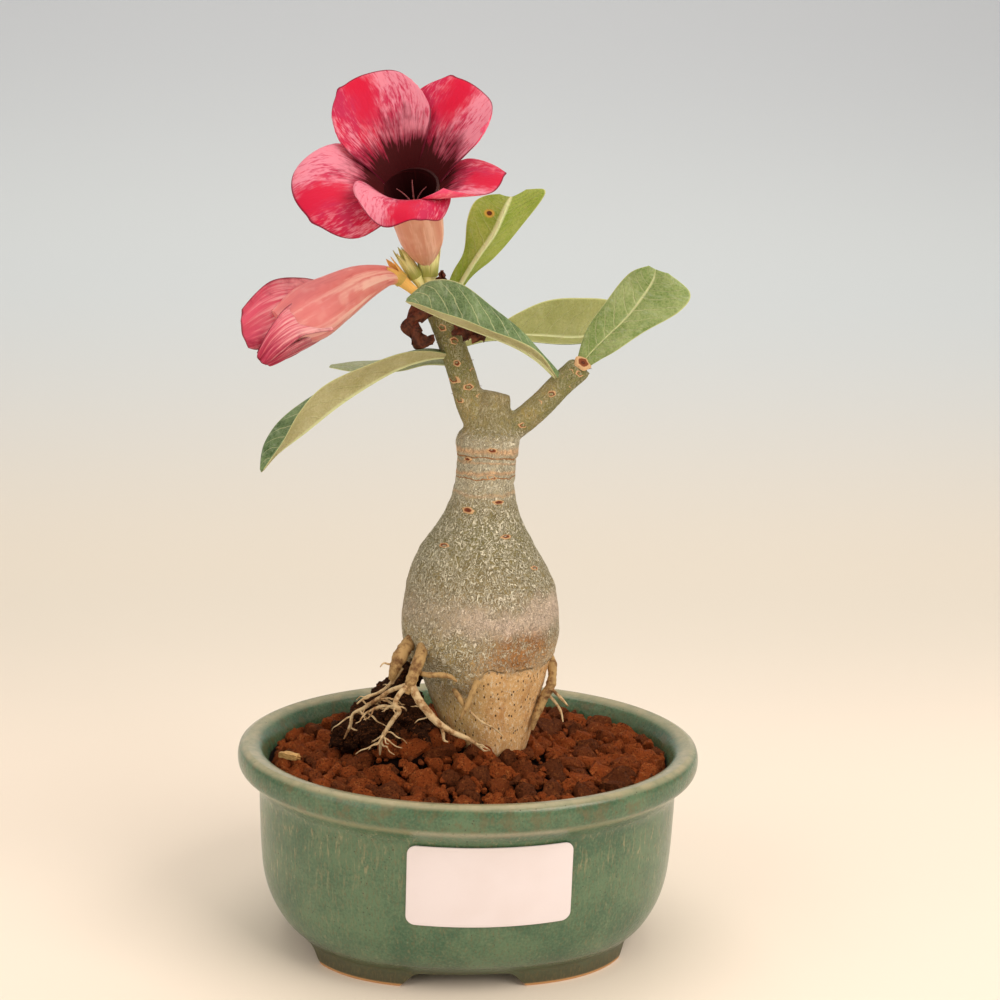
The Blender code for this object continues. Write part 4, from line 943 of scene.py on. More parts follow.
@dataclass(frozen=True)
class FadedFinish:
    """Wilted petal: rose folds with a pale heart, bruised purple along its edges."""

    rose: Colour = seen(212, 80, 98)
    light: Colour = seen(250, 186, 178)
    bruise: Colour = seen(150, 28, 56)
    edge: Colour = seen(96, 38, 44)

    def material(self) -> Material:
        """The finish as a material."""
        paint = Paint("wilted_petal", Specular_IOR_Level=0.2, Subsurface_Weight=0.15,
                      Subsurface_Radius=(1.0, 0.3, 0.3), Subsurface_Scale=0.001)
        across, along = paint.map()
        place = paint.place()
        side = across * 2.0 - 1.0
        streaks = paint.noise(paint.vector(side * 7.0, along * 1.6, 2.0), 1.0, 4.0, 0.6)
        blotch = paint.noise(place, 0.28, 4.0, 0.65)
        fine = paint.noise(place, 1.6, 3.0, 0.6)
        rim = abs(side).rise(0.93, 0.99).most(along.rise(0.95, 0.99))
        low = paint.parts(place)[2].rise(189.0, 180.0)
        colour = paint.layers(
            self.rose, (self.light, (streaks * 0.8 + (1.0 - along) * 0.35).rise(0.42, 0.8) * 0.9),
            (self.bruise, (blotch * 0.7 + abs(side) * 0.35).rise(0.55, 0.85) * 0.8),
            (self.bruise, low * streaks.rise(0.66, 0.4) * 0.75), (self.edge, rim * 0.75))
        height = streaks * 0.6 + fine * 0.25 + blotch * 0.4
        return paint.feed(Base_Color=colour, Roughness=0.5 + fine * 0.2, Normal=paint.relief(height, 0.45))


@dataclass(frozen=True)
class CalyxFinish:
    """Sepals and their stems: green at the foot, yellow above, with browned tips."""

    name: str = "calyx_skin"
    green: Colour = seen(158, 156, 70)
    yellow: Colour = seen(240, 226, 150)
    tip: Colour = seen(150, 100, 60)

    def material(self) -> Material:
        """The finish as a material."""
        paint = Paint(self.name, Specular_IOR_Level=0.4, Subsurface_Weight=0.15,
                      Subsurface_Radius=(0.6, 0.7, 0.2), Subsurface_Scale=0.001)
        across, along = paint.map()
        place = paint.place()
        lanes = paint.noise(paint.vector(across * 9.0, along * 1.5, 0.5), 1.0, 3.0, 0.55)
        fine = paint.noise(place, 1.5, 3.0, 0.6)
        colour = paint.layers(
            paint.mix(self.green, self.yellow, (along + lanes * 0.4).rise(0.25, 0.75)),
            (self.green, lanes.rise(0.5, 0.3) * 0.5), (self.tip, along.rise(0.93, 1.0) * 0.8))
        return paint.feed(Base_Color=colour, Roughness=0.45 + fine * 0.2, Normal=paint.relief(lanes, 0.3))


@dataclass(frozen=True)
class PlainFinish:
    """A two-tone finish with grain, for the small pieces."""

    name: str
    dark: Colour
    light: Colour
    roughness: float
    grain_size: float
    run: Colour = (1.0, 1.0, 1.0)
    depth: float = 0.2

    def material(self) -> Material:
        """The finish as a material."""
        paint = Paint(self.name, Specular_IOR_Level=0.35)
        place = paint.place()
        grain = paint.noise(paint.stretch(place, self.run), self.grain_size, 4.0, 0.65)
        fine = paint.noise(place, self.grain_size * 3.0, 3.0, 0.6)
        colour = paint.mix(self.dark, self.light, (grain * 0.8 + fine * 0.3).rise(0.38, 0.76))
        return paint.feed(Base_Color=colour, Roughness=self.roughness + fine * 0.12,
                          Normal=paint.relief(grain + fine * 0.4, self.depth))


# The bowl and what lies in it

@dataclass
class PotBowl:
    """The glazed oval bowl: outside, rolled rim, inside, foot ring with four feet and drain holes."""

    outside: Tuple[Row, ...] = (
        (49.7, 0.0, 2.5), (50.3, 0.5, 2.5), (51.0, 4.6, 2.4), (53.6, 7.0, 2.3), (57.0, 10.0, 2.15),
        (60.3, 15.5, 2.05), (62.2, 22.0, 2.0), (63.0, 31.0, 2.0), (63.4, 41.0, 2.0), (63.8, 48.0, 2.0),
        (66.2, 51.6, 2.0), (69.2, 54.6, 2.0), (70.0, 57.6, 2.0), (69.4, 60.6, 2.0), (67.6, 61.8, 2.0))
    inside: Tuple[Row, ...] = (
        (67.6, 61.8, 2.0), (64.8, 61.2, 2.0), (62.6, 59.6, 2.0), (60.6, 54.0, 2.0), (59.6, 42.0, 2.0),
        (58.2, 24.0, 2.0), (53.4, 13.6, 2.1), (46.5, 9.8, 2.2))
    narrower: float = 9.7
    foot_width: float = 6.2
    foot_height: float = 4.6
    foot_flare: float = 4.6
    front_notch: Tuple[float, float] = (-21.9, 14.8)
    side_notch: Tuple[float, float] = (-24.0, 24.0)
    notch_reach: float = 80.0
    drain_radius: float = 7.0
    drain_offset: float = 24.0
    sides: int = 224

    def ring(self, half_length: float, height: float, square: float) -> Array:
        """One ring of the bowl's oval."""
        half_width = half_length - self.narrower * min(1.0, half_length / 50.0)
        angle = np.linspace(0.0, math.tau, self.sides, endpoint=False)
        cosine, sine = np.cos(angle), np.sin(angle)
        x = np.sign(cosine) * np.abs(cosine) ** (2.0 / square) * half_length
        y = np.sign(sine) * np.abs(sine) ** (2.0 / square) * half_width
        return np.stack([x, y, np.full_like(x, height)], axis=1)

    def notch(self, span: Tuple[float, float], along_x: bool) -> Piece:
        """A cutter with sloping, rounded ends for the gap between two feet."""
        deselect()
        bpy.ops.mesh.primitive_cube_add(size=2.0)
        cutter = bpy.context.object
        corners = points_of(cutter)
        low, high = span
        flare = np.where(corners[:, 2] > 0, self.foot_flare, -1.0)
        reach = np.where(corners[:, 0] > 0, high - flare, low + flare)
        height = np.where(corners[:, 2] > 0, self.foot_height, -1.0)
        depth = corners[:, 1] * self.notch_reach
        spots = (reach, depth, height) if along_x else (depth, reach, height)
        move_points(cutter, np.stack(spots, axis=1))
        face_outward(cutter)
        apply(cutter, "BEVEL", width=1.6, segments=5)
        return cutter

    def build(self) -> None:
        """Model the bowl and glaze it."""
        foot = self.outside[0][0] - self.foot_width
        under = [(foot, self.foot_height, 2.5), (foot, 0.5, 2.5), (foot + 0.6, 0.0, 2.5)]
        rows = [*under, *smooth(self.outside, 76), *smooth(self.inside, 34)[1:]]
        bowl = wrap("bowl", np.array([self.ring(*row) for row in rows]))
        cut(bowl, self.notch(self.front_notch, True))
        cut(bowl, self.notch(self.side_notch, False))
        for x in (-self.drain_offset, self.drain_offset):
            deselect()
            bpy.ops.mesh.primitive_cylinder_add(vertices=48, radius=self.drain_radius, depth=30.0,
                                                location=(x, 0.0, 10.0))
            cut(bowl, bpy.context.object)
        dress(bowl, GlazeFinish().material())
        finish(bowl, "glazed_bowl", ["pot"], 38.0)

    def half_length(self, heights: Array) -> Array:
        """The half length of the outside at heights."""
        rows = np.array(self.outside)
        return np.interp(heights, rows[:, 1], rows[:, 0])


@dataclass
class Label:
    """The blank sticker on the front of the bowl."""

    bowl: PotBowl
    left: float = -21.0
    right: float = 25.0
    top: float = 48.3
    bottom: float = 24.6
    corner: float = 2.6
    lift: float = 0.3
    thickness: float = 0.4
    strip: float = 1.0

    def build(self) -> None:
        """Cut the sticker, bend it round the bowl and finish it."""
        deselect()
        bpy.ops.mesh.primitive_plane_add(size=1.0)
        sticker = bpy.context.object
        flat = points_of(sticker)
        x = np.where(flat[:, 0] > 0, self.right, self.left)
        z = np.where(flat[:, 1] > 0, self.top, self.bottom)
        move_points(sticker, np.stack([x, np.zeros_like(x), z], axis=1))
        edit(sticker)
        bpy.ops.mesh.bevel(offset=self.corner, segments=10, affect="VERTICES")
        for place in np.arange(self.left + self.strip, self.right, self.strip):
            bpy.ops.mesh.select_all(action="SELECT")
            bpy.ops.mesh.bisect(plane_co=(place, 0.0, 0.0), plane_no=(1.0, 0.0, 0.0))
        for place in np.arange(self.bottom + self.strip, self.top, self.strip):
            bpy.ops.mesh.select_all(action="SELECT")
            bpy.ops.mesh.bisect(plane_co=(0.0, 0.0, place), plane_no=(0.0, 0.0, 1.0))
        bpy.ops.object.mode_set(mode="OBJECT")
        flat = points_of(sticker)
        half = self.bowl.half_length(flat[:, 2])
        width = half - self.bowl.narrower
        y = -width * np.sqrt(1.0 - (flat[:, 0] / half) ** 2)
        outward = np.stack([flat[:, 0] / half ** 2, y / width ** 2, np.zeros_like(y)], axis=1)
        outward /= np.linalg.norm(outward, axis=1, keepdims=True)
        spots = np.stack([flat[:, 0], y, flat[:, 2]], axis=1) + outward * (self.lift + self.thickness / 2)
        move_points(sticker, spots)
        apply(sticker, "SOLIDIFY", thickness=self.thickness, offset=0.0)
        apply(sticker, "BEVEL", width=0.12, segments=2, limit_method="ANGLE")
        dress(sticker, PaperFinish().material())
        finish(sticker, "blank_label", ["label"], 40.0)


@dataclass
class SoilBed:
    """The fill of the bowl and the granules on it."""

    half_length: float = 60.9
    narrower: float = 9.7
    level: float = 56.6
    mounds: Tuple[Row, ...] = ((-4.0, -9.0, 7.2, 24.0), (-20.0, -14.0, 6.5, 9.5))
    large: int = 290
    large_sizes: Tuple[float, float] = (2.1, 4.6)
    small: int = 640
    small_sizes: Tuple[float, float] = (0.9, 2.2)
    collar: Row = (5.6, -3.3, 13.6, 16.2)
    collar_stones: int = 19
    tries: int = 80
    seed: int = 7
    kinds: int = 9

    def height(self, x: float, y: float) -> float:
        """The top of the fill at a place."""
        rise = 0.0
        for near_x, near_y, top, spread in self.mounds:
            rise += top * math.exp(-(math.hypot(x - near_x, y - near_y) / spread) ** 2)
        return self.level + rise

    def stone(self, number: int, fineness: int) -> Piece:
        """One kind of granule: a ball hewn by planes, with a rough skin.

        Args:
            number: Which kind it is.
            fineness: How often the ball is divided.

        Returns:
            A stone of about 1 mm radius at the origin.
        """
        draw = random.Random(100 * fineness + number)
        deselect()
        bpy.ops.mesh.primitive_ico_sphere_add(subdivisions=fineness, radius=1.0)
        rock = bpy.context.object
        places = points_of(rock)
        for _ in range(9):
            facing = np.array([draw.gauss(0.0, 1.0) for _ in range(3)])
            facing /= np.linalg.norm(facing)
            depth = draw.uniform(0.52, 0.84)
            over = np.maximum(places @ facing - depth, 0.0)
            places -= np.outer(over * 0.92, facing)
        rough = wander(places, 1.5, number * 7.3) * 0.24 + wander(places, 3.2, number * 3.1) * 0.16
        places *= (1.0 + rough)[:, None]
        stretch = np.array([draw.uniform(0.85, 1.25), draw.uniform(0.8, 1.1), draw.uniform(0.75, 1.0)])
        move_points(rock, places * stretch)
        return rock

    def spots(self) -> List[Tuple[float, float, float, float, bool]]:
        """Seeded places: x, y, z, size and whether the stone is a large one."""
        draw = random.Random(self.seed)
        chosen: List[Tuple[float, float, float, float, bool]] = []
        half_width = self.half_length - self.narrower
        smallest, largest = self.large_sizes
        for number in range(self.collar_stones):
            angle = math.tau * number / self.collar_stones + draw.uniform(-0.08, 0.08)
            x = self.collar[0] + self.collar[2] * math.cos(angle)
            y = self.collar[1] + self.collar[3] * math.sin(angle)
            size = draw.uniform(2.3, 3.5)
            chosen.append((x, y, self.height(x, y) + 0.6, size, True))
        for _ in range(self.large * self.tries):
            placed = len(chosen) - self.collar_stones
            if placed == self.large:
                break
            wanted = largest - (largest - smallest) * placed / self.large
            size = wanted * draw.uniform(0.9, 1.1)
            angle = draw.uniform(0.0, math.tau)
            out = math.sqrt(draw.uniform(0.0, 1.0))
            x = (self.half_length - size) * out * math.cos(angle)
            y = (half_width - size) * out * math.sin(angle)
            if all(math.hypot(x - a, y - b) > 0.8 * (size + other) for a, b, _, other, _ in chosen):
                chosen.append((x, y, self.height(x, y) - size * 0.22, size, True))
        grounds = len(chosen)
        for _ in range(self.small * self.tries):
            if len(chosen) == grounds + self.small:
                break
            size = draw.uniform(*self.small_sizes) * draw.uniform(0.7, 1.0)
            angle = draw.uniform(0.0, math.tau)
            out = math.sqrt(draw.uniform(0.0, 1.0))
            x = (self.half_length - 0.6 - size) * out * math.cos(angle)
            y = (half_width - 0.6 - size) * out * math.sin(angle)
            near = [(math.hypot(x - a, y - b), other) for a, b, _, other, _ in chosen]
            if all(gap > 0.62 * (size + other) for gap, other in near):
                chosen.append((x, y, self.height(x, y) + draw.uniform(-0.9, 0.5), size, False))
        return chosen

    def build(self) -> None:
        """Model the fill and its granules."""
        paint = GranuleFinish().material()
        rock_kinds = [self.stone(number, 3) for number in range(self.kinds)]
        crumb_kinds = [self.stone(number, 2) for number in range(self.kinds)]
        draw = random.Random(self.seed + 2)
        stones = []
        for x, y, z, size, large in self.spots():
            kind = draw.choice(rock_kinds if large else crumb_kinds)
            copy = kind.copy()
            copy.data = kind.data.copy()
            turn = Matrix.Rotation(draw.uniform(0, math.tau), 4, "Z") @ Matrix.Rotation(
                draw.uniform(-0.6, 0.6), 4, "X") @ Matrix.Rotation(draw.uniform(-0.6, 0.6), 4, "Y")
            copy.data.transform(Matrix.Translation((x, y, z)) @ turn @ Matrix.Scale(size * 1.06, 4))
            tint = copy.data.attributes.new("tint", "FLOAT", "POINT")
            tint.data.foreach_set("value", np.full(len(copy.data.vertices), draw.uniform(0.1, 1.0), np.float32))
            bpy.context.collection.objects.link(copy)
            stones.append(copy)
        for kind in rock_kinds + crumb_kinds:
            bpy.data.objects.remove(kind, do_unlink=True)
        stones.append(self.fill())
        bed = join(stones, "granules")
        dress(bed, paint)
        finish(bed, "lava_granules", ["soil"], 32.0)

    def fill(self) -> Piece:
        """The body of the fill below the granules."""
        bowl = PotBowl(sides=96)
        levels = [(row[0] - 0.6, row[1], row[2]) for row in bowl.inside[::-1] if row[1] < self.level - 1.0]
        levels[0] = (levels[0][0], levels[0][1] + 1.6, levels[0][2])
        levels.append((self.half_length, self.level - 1.6, 2.0))
        rings = [bowl.ring(*level) for level in levels]
        top = rings[-1]
        for share in np.linspace(0.92, 0.04, 16):
            ring = top * (share, share, 1.0)
            ring[:, 2] = [self.height(x, y) - 1.8 for x, y, _ in ring]
            rings.append(ring)
        body = wrap("fill", np.array(rings))
        # Tint 0 paints the fill near black: painted shade in the gaps between the stones.
        tint = body.data.attributes.new("tint", "FLOAT", "POINT")
        tint.data.foreach_set("value", np.full(len(body.data.vertices), 0.0, np.float32))
        return body


@dataclass
class DrainMeshes:
    """The plastic meshes over the drain holes, whose solids are right as they are."""

    nodes: Tuple[str, str] = ("drain_mesh_left", "drain_mesh_right")

    def build(self) -> None:
        """Give both solids a moulded finish."""
        plastic = PlainFinish("mesh_plastic", (0.012, 0.013, 0.012), (0.03, 0.032, 0.03), 0.45, 1.4,
                              depth=0.06).material()
        for name in self.nodes:
            dress(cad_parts[name], plastic)
            LOG.info("%s keeps its solid", name)


@dataclass
class WoodChip:
    """A splinter of pale wood on the granules."""

    place: Row = (-54.2, -10.0, 59.6)
    size: Row = (7.4, 2.6, 1.6)
    taper: float = 0.72
    rise: float = 0.12
    turn: float = -50.0

    def build(self) -> None:
        """Split the chip off a block."""
        deselect()
        bpy.ops.mesh.primitive_cube_add(size=1.0)
        chip = bpy.context.object
        edit(chip)
        bpy.ops.mesh.subdivide(number_cuts=9)
        bpy.ops.object.mode_set(mode="OBJECT")
        spots = points_of(chip)
        ragged = wander(spots * (0.6, 6.0, 6.0), 1.0, 4.0) * 0.12
        spots[:, 0] += ragged * np.abs(spots[:, 0]) * 2.0
        spots[:, 1] *= np.where(spots[:, 0] > 0, self.taper, 1.0) * (1.0 + ragged)
        spots[:, 2] *= 1.0 + wander(spots, 2.2, 8.0) * 0.35
        spots *= self.size
        angle = math.radians(self.turn)
        x = spots[:, 0] * math.cos(angle) - spots[:, 1] * math.sin(angle)
        y = spots[:, 0] * math.sin(angle) + spots[:, 1] * math.cos(angle)
        z = spots[:, 2] + self.rise * spots[:, 0]
        move_points(chip, np.stack([x, y, z], axis=1) + self.place)
        wood = PlainFinish("split_wood", seen(176, 124, 66), seen(226, 178, 108), 0.6, 1.1,
                           (1.0, 0.7, 3.0), 0.3)
        dress(chip, wood.material())
        finish(chip, "pale_chip", ["wood_chip"], 35.0)


# The plant

@dataclass
class Trunk:
    """Caudex, cut stub, branches and thick roots, grown as one."""

    levels: Tuple[Row, ...] = (
        (32.0, 4.0, 9.0, -8.0, -2.0), (46.0, 1.0, 12.5, -12.5, 3.0), (56.0, -2.0, 15.5, -16.0, 8.0),
        (62.5, -6.2, 17.4, -17.6, 11.0), (69.0, -10.0, 19.3, -18.4, 14.5), (76.0, -13.0, 20.8, -19.4, 17.5),
        (83.0, -15.8, 22.4, -20.6, 19.5), (87.4, -18.2, 23.9, -21.4, 20.8), (89.4, -19.8, 25.0, -22.0, 21.8),
        (94.0, -21.2, 25.7, -23.1, 23.0), (99.0, -21.5, 25.9, -23.5, 23.4), (105.0, -21.0, 25.3, -22.9, 23.0),
        (110.5, -20.0, 24.1, -21.8, 21.8), (116.0, -18.5, 21.3, -19.8, 19.6), (121.6, -16.0, 18.1, -17.0, 16.9),
        (129.2, -10.7, 14.1, -12.6, 12.4), (137.0, -7.2, 11.8, -9.8, 9.6), (144.7, -6.2, 11.5, -9.0, 8.8),
        (150.4, -6.1, 12.0, -9.1, 9.0), (153.0, -6.5, 12.5, -9.5, 9.3), (155.4, -5.8, 12.1, -8.9, 8.7),
        (157.2, -4.3, 10.2, -7.2, 7.0), (161.6, -2.9, 9.4, -5.8, 5.6), (167.6, 0.4, 9.3, -4.6, 4.4))
    stub_slant: float = -0.19
    left_branch: Tuple[Row, ...] = (
        (2.0, 0.0, 155.0, 4.2), (-2.2, 0.0, 163.5, 4.3), (-5.6, 0.0, 174.0, 4.1), (-9.8, 0.0, 185.0, 3.9),
        (-13.4, 0.0, 193.0, 3.8), (-15.8, -0.4, 197.4, 3.1))
    right_branch: Tuple[Row, ...] = (
        (5.0, 0.0, 154.4, 3.9), (10.6, 0.0, 157.4, 4.0), (18.2, -0.3, 164.0, 3.8), (24.0, -0.8, 170.4, 3.7),
        (28.9, -1.0, 175.0, 3.7), (29.9, -1.1, 176.1, 3.2))
    thick_roots: Tuple[Tuple[Row, ...], ...] = (
        ((8, 15, 93, 2.6), (13, 21.4, 87.6, 2.4), (16.4, 25.6, 79.4, 2.0), (17.6, 29.8, 69.4, 1.6),
         (17, 32.6, 60, 1.1), (17, 33, 54, 0.8)),
        ((-13, 12, 90, 2.0), (-17, 17, 84.6, 1.8), (-19.6, 20, 77, 1.5), (-20, 23, 66, 1.1),
         (-20.4, 24.6, 56, 0.8)))
    voxel: float = 0.6

    def caudex(self) -> Piece:
        """The swollen trunk from its buried taproot to the cut of its stub."""
        rows = smooth(self.levels, 190)
        angle = np.linspace(0.0, math.tau, 128, endpoint=False)
        centre = np.stack([(rows[:, 1] + rows[:, 2]) / 2, (rows[:, 3] + rows[:, 4]) / 2, rows[:, 0]], axis=1)
        half_x = (rows[:, 2] - rows[:, 1]) / 2
        half_y = (rows[:, 4] - rows[:, 3]) / 2
        out = np.stack([half_x[:, None] * np.cos(angle), half_y[:, None] * np.sin(angle),
                        np.zeros((len(rows), len(angle)))], axis=2)
        rings = centre[:, None] + out
        top = rows[:, 0] > self.levels[-1][0] - 2.5
        share = (rows[top, 0] - (self.levels[-1][0] - 2.5)) / 2.5
        rings[top, :, 2] += self.stub_slant * out[top, :, 0] * share[:, None]
        return wrap("caudex", rings)

    def build(self) -> None:
        """Grow the parts together and give them their bark."""
        parts = [self.caudex()]
        parts.append(bar("left_branch", self.left_branch, 60, 40))
        parts.append(bar("right_branch", self.right_branch, 50, 40))
        for root in self.thick_roots:
            parts.append(bar("thick_root", root, 50, 20, 0.16))
        trunk = join(parts, "trunk_body")
        apply(trunk, "REMESH", mode="VOXEL", voxel_size=self.voxel)
        apply(trunk, "SMOOTH", factor=0.5, iterations=3)
        places = points_of(trunk)
        facing = normals_of(trunk)
        z = places[:, 2]
        body = step(56.0, 70.0, z) * step(160.0, 150.0, z)
        lumps = wander(places, 0.11, 5.0) * 0.42 + wander(places, 0.34, 2.0) * 0.2
        folds = wander(places * (1.0, 1.0, 3.2), 0.22, 11.0) * 0.2 * step(132.0, 142.0, z)
        wave = wander(places, 0.12, 30.0) * 1.4
        upper_ring = 0.35 * np.exp(-((z + wave - 148.6) / 0.7) ** 2)
        rings = -upper_ring - 0.3 * np.exp(-((z + wave - 141.0) / 0.7) ** 2)
        bare_edge = np.where(places[:, 0] > -4.0, 88.0, 81.0)
        crease = -0.12 * np.exp(-((z + wave * 0.4 - bare_edge) / 0.9) ** 2)
        crease = crease * step(3.0, 9.0, 20.0 + places[:, 0])
        fine = wander(places, 0.9, 17.0) * 0.09
        pits = -0.25 * step(0.35, 0.6, wander(places, 0.6, 41.0)) * step(90.0, 84.0, z)
        relief = (lumps + folds + rings + crease + pits) * body + fine
        move_points(trunk, places + facing * relief[:, None])
        dress(trunk, BarkFinish().material())
        finish(trunk, "caudex_and_branches", ["trunk"])

    def outline_at(self, height: float) -> Array:
        """Left, right, front and back of the caudex at a height."""
        rows = np.array(self.levels)
        return np.array([np.interp(height, rows[:, 0], rows[:, column]) for column in range(1, 5)])


@dataclass
class LeafScars:
    """Ovals that fallen leaves left on the bark, and the bristles beside them."""

    trunk: Trunk
    left_marks: Tuple[Row, ...] = (
        (169.6, 0.15, 1.5), (171.4, -0.75, 1.9), (174.6, 0.8, 1.1), (176.7, -0.15, 1.3), (182.6, 0.25, 1.5),
        (186.8, -0.3, 1.4), (166.9, 0.75, 1.2), (165.2, -0.7, 1.3))
    right_marks: Tuple[Row, ...] = (
        (158.6, 0.2, 1.3), (160.6, 0.75, 1.2), (165.6, -0.6, 1.1), (168.1, -0.25, 1.4), (170.6, 0.7, 1.2),
        (174.0, 0.3, 1.3), (174.6, -0.55, 1.1))
    trunk_marks: Tuple[Row, ...] = (
        (134.0, -0.5, 2.3), (123.8, -0.72, 2.2), (136.4, 0.36, 1.9), (126.8, 0.46, 2.0), (117.3, 0.8, 2.0),
        (143.6, 0.1, 2.0), (151.6, 0.05, 2.0), (148.6, -0.7, 1.5))
    cut_end: Row = (30.0, -3.6, 177.2)
    cut_facing: Row = (0.2, -0.75, 0.62)
    cut_size: Row = (2.7, 2.3, 9.0)
    seed: int = 12

    def disc(self, place: Vector, outward: Vector, size: Row, tilt: float) -> Piece:
        """One oval: a raised rim round a hollow, lying square to outward."""
        rows, columns = 9, 26
        draw = random.Random(int(abs(place.x * 31 + place.z * 17)))
        angle = np.linspace(0.0, math.tau, columns + 1)
        ragged = 1.0 + 0.12 * np.sin(2 * angle + draw.uniform(0, 6))
        ragged = ragged + 0.08 * np.sin(5 * angle + draw.uniform(0, 6))
        out = np.linspace(0.03, 1.0, rows + 1)
        height = np.interp(out, (0.0, 0.35, 0.62, 0.8, 1.0), (0.05, 0.1, 0.5, 0.45, -0.45))
        up = Vector((0.0, 0.0, 1.0)) - outward * outward.z
        up.normalize()
        right = up.cross(outward)
        right = (right * math.cos(tilt) + up * math.sin(tilt)).normalized()
        up = outward.cross(right)
        grid = np.zeros((rows + 1, columns + 1, 3))
        grid += np.array(place)
        grid += np.array(right) * (out[:, None] * np.cos(angle) * ragged * size[0])[..., None]
        grid += np.array(up) * (out[:, None] * np.sin(angle) * ragged * size[1])[..., None]
        bend = (out[:, None] * np.cos(angle) * size[0]) ** 2 / (2.0 * size[2])
        grid += np.array(outward) * (height[:, None] * 0.55 - bend)[..., None]
        mark = sheet("scar", grid)
        weld(mark)
        return mark

    def on_branch(self, curve: Sequence[Row], marks: Sequence[Row], facing: float) -> List[Piece]:
        """Scars on one face of a branch."""
        stations = smooth(curve, 80)
        made = []
        for height, across, size in marks:
            x, y, z, radius = min(stations, key=lambda row: abs(row[2] - height))
            outward = Vector((across, facing * math.sqrt(max(0.0, 1.0 - across * across)), 0.0))
            place = Vector((x, y, z)) + outward * (radius - 0.12)
            made.append(self.disc(place, outward, (size * 1.15, size * 0.8, radius), 0.1 * facing))
        return made

    def on_caudex(self, marks: Sequence[Row], facing: float) -> List[Piece]:
        """Scars on one face of the neck and shoulders."""
        made = []
        for height, across, size in marks:
            left, right, front, back = self.trunk.outline_at(height)
            depth = facing * math.sqrt(1.0 - across * across)
            place = Vector(((left + right) / 2 + across * (right - left) / 2,
                            (front + back) / 2 + depth * (back - front) / 2, height))
            above = self.trunk.outline_at(height + 2.0)
            slope = ((right - left) - (above[1] - above[0])) / 4.0
            outward = Vector((across, depth, slope)).normalized()
            made.append(self.disc(place - outward * 0.1, outward, (size, size * 0.42, 12.0), -0.08))
        return made

    def bristle(self, place: Vector, outward: Vector, length: float) -> Piece:
        """One tiny spike."""
        deselect()
        bpy.ops.mesh.primitive_cone_add(vertices=5, radius1=0.13, radius2=0.02, depth=length)
        spike = bpy.context.object
        turn = Vector((0.0, 0.0, 1.0)).rotation_difference(outward).to_matrix().to_4x4()
        spike.data.transform(Matrix.Translation(place + outward * length * 0.4) @ turn)
        return spike

    def build(self) -> None:
        """Model the scars and bristles on both faces."""
        trunk = self.trunk
        scars = self.on_branch(trunk.left_branch, self.left_marks, -1.0)
        scars += self.on_branch(trunk.right_branch, self.right_marks, -1.0)
        scars += self.on_caudex(self.trunk_marks, -1.0)
        cut_facing = Vector(self.cut_facing).normalized()
        scars.append(self.disc(Vector(self.cut_end), cut_facing, self.cut_size, 0.2))
        scars += self.on_branch(trunk.left_branch, self.left_marks[::2], 1.0)
        scars += self.on_branch(trunk.right_branch, self.right_marks[1::2], 1.0)
        scars += self.on_caudex(self.trunk_marks[::2], 1.0)
        piece = join(scars, "scars")
        dress(piece, ScarFinish().material())
        finish(piece, "leaf_scars", ["trunk"])
        draw = random.Random(self.seed)
        spikes = []
        for curve in (trunk.left_branch, trunk.right_branch):
            stations = smooth(curve, 60)
            for _ in range(34):
                x, y, z, radius = stations[draw.randrange(14, 57)]
                angle = draw.uniform(0.0, math.tau)
                outward = Vector((math.cos(angle), math.sin(angle), draw.uniform(-0.1, 0.35))).normalized()
                place = Vector((x, y, z)) + outward * (radius - 0.1)
                spikes.append(self.bristle(place, outward, draw.uniform(0.7, 1.3)))
        hairs = join(spikes, "bristles")
        dress(hairs, PlainFinish("bristle", seen(70, 34, 22), seen(110, 62, 36), 0.6, 2.0).material())
        finish(hairs, "branch_bristles", ["trunk"])


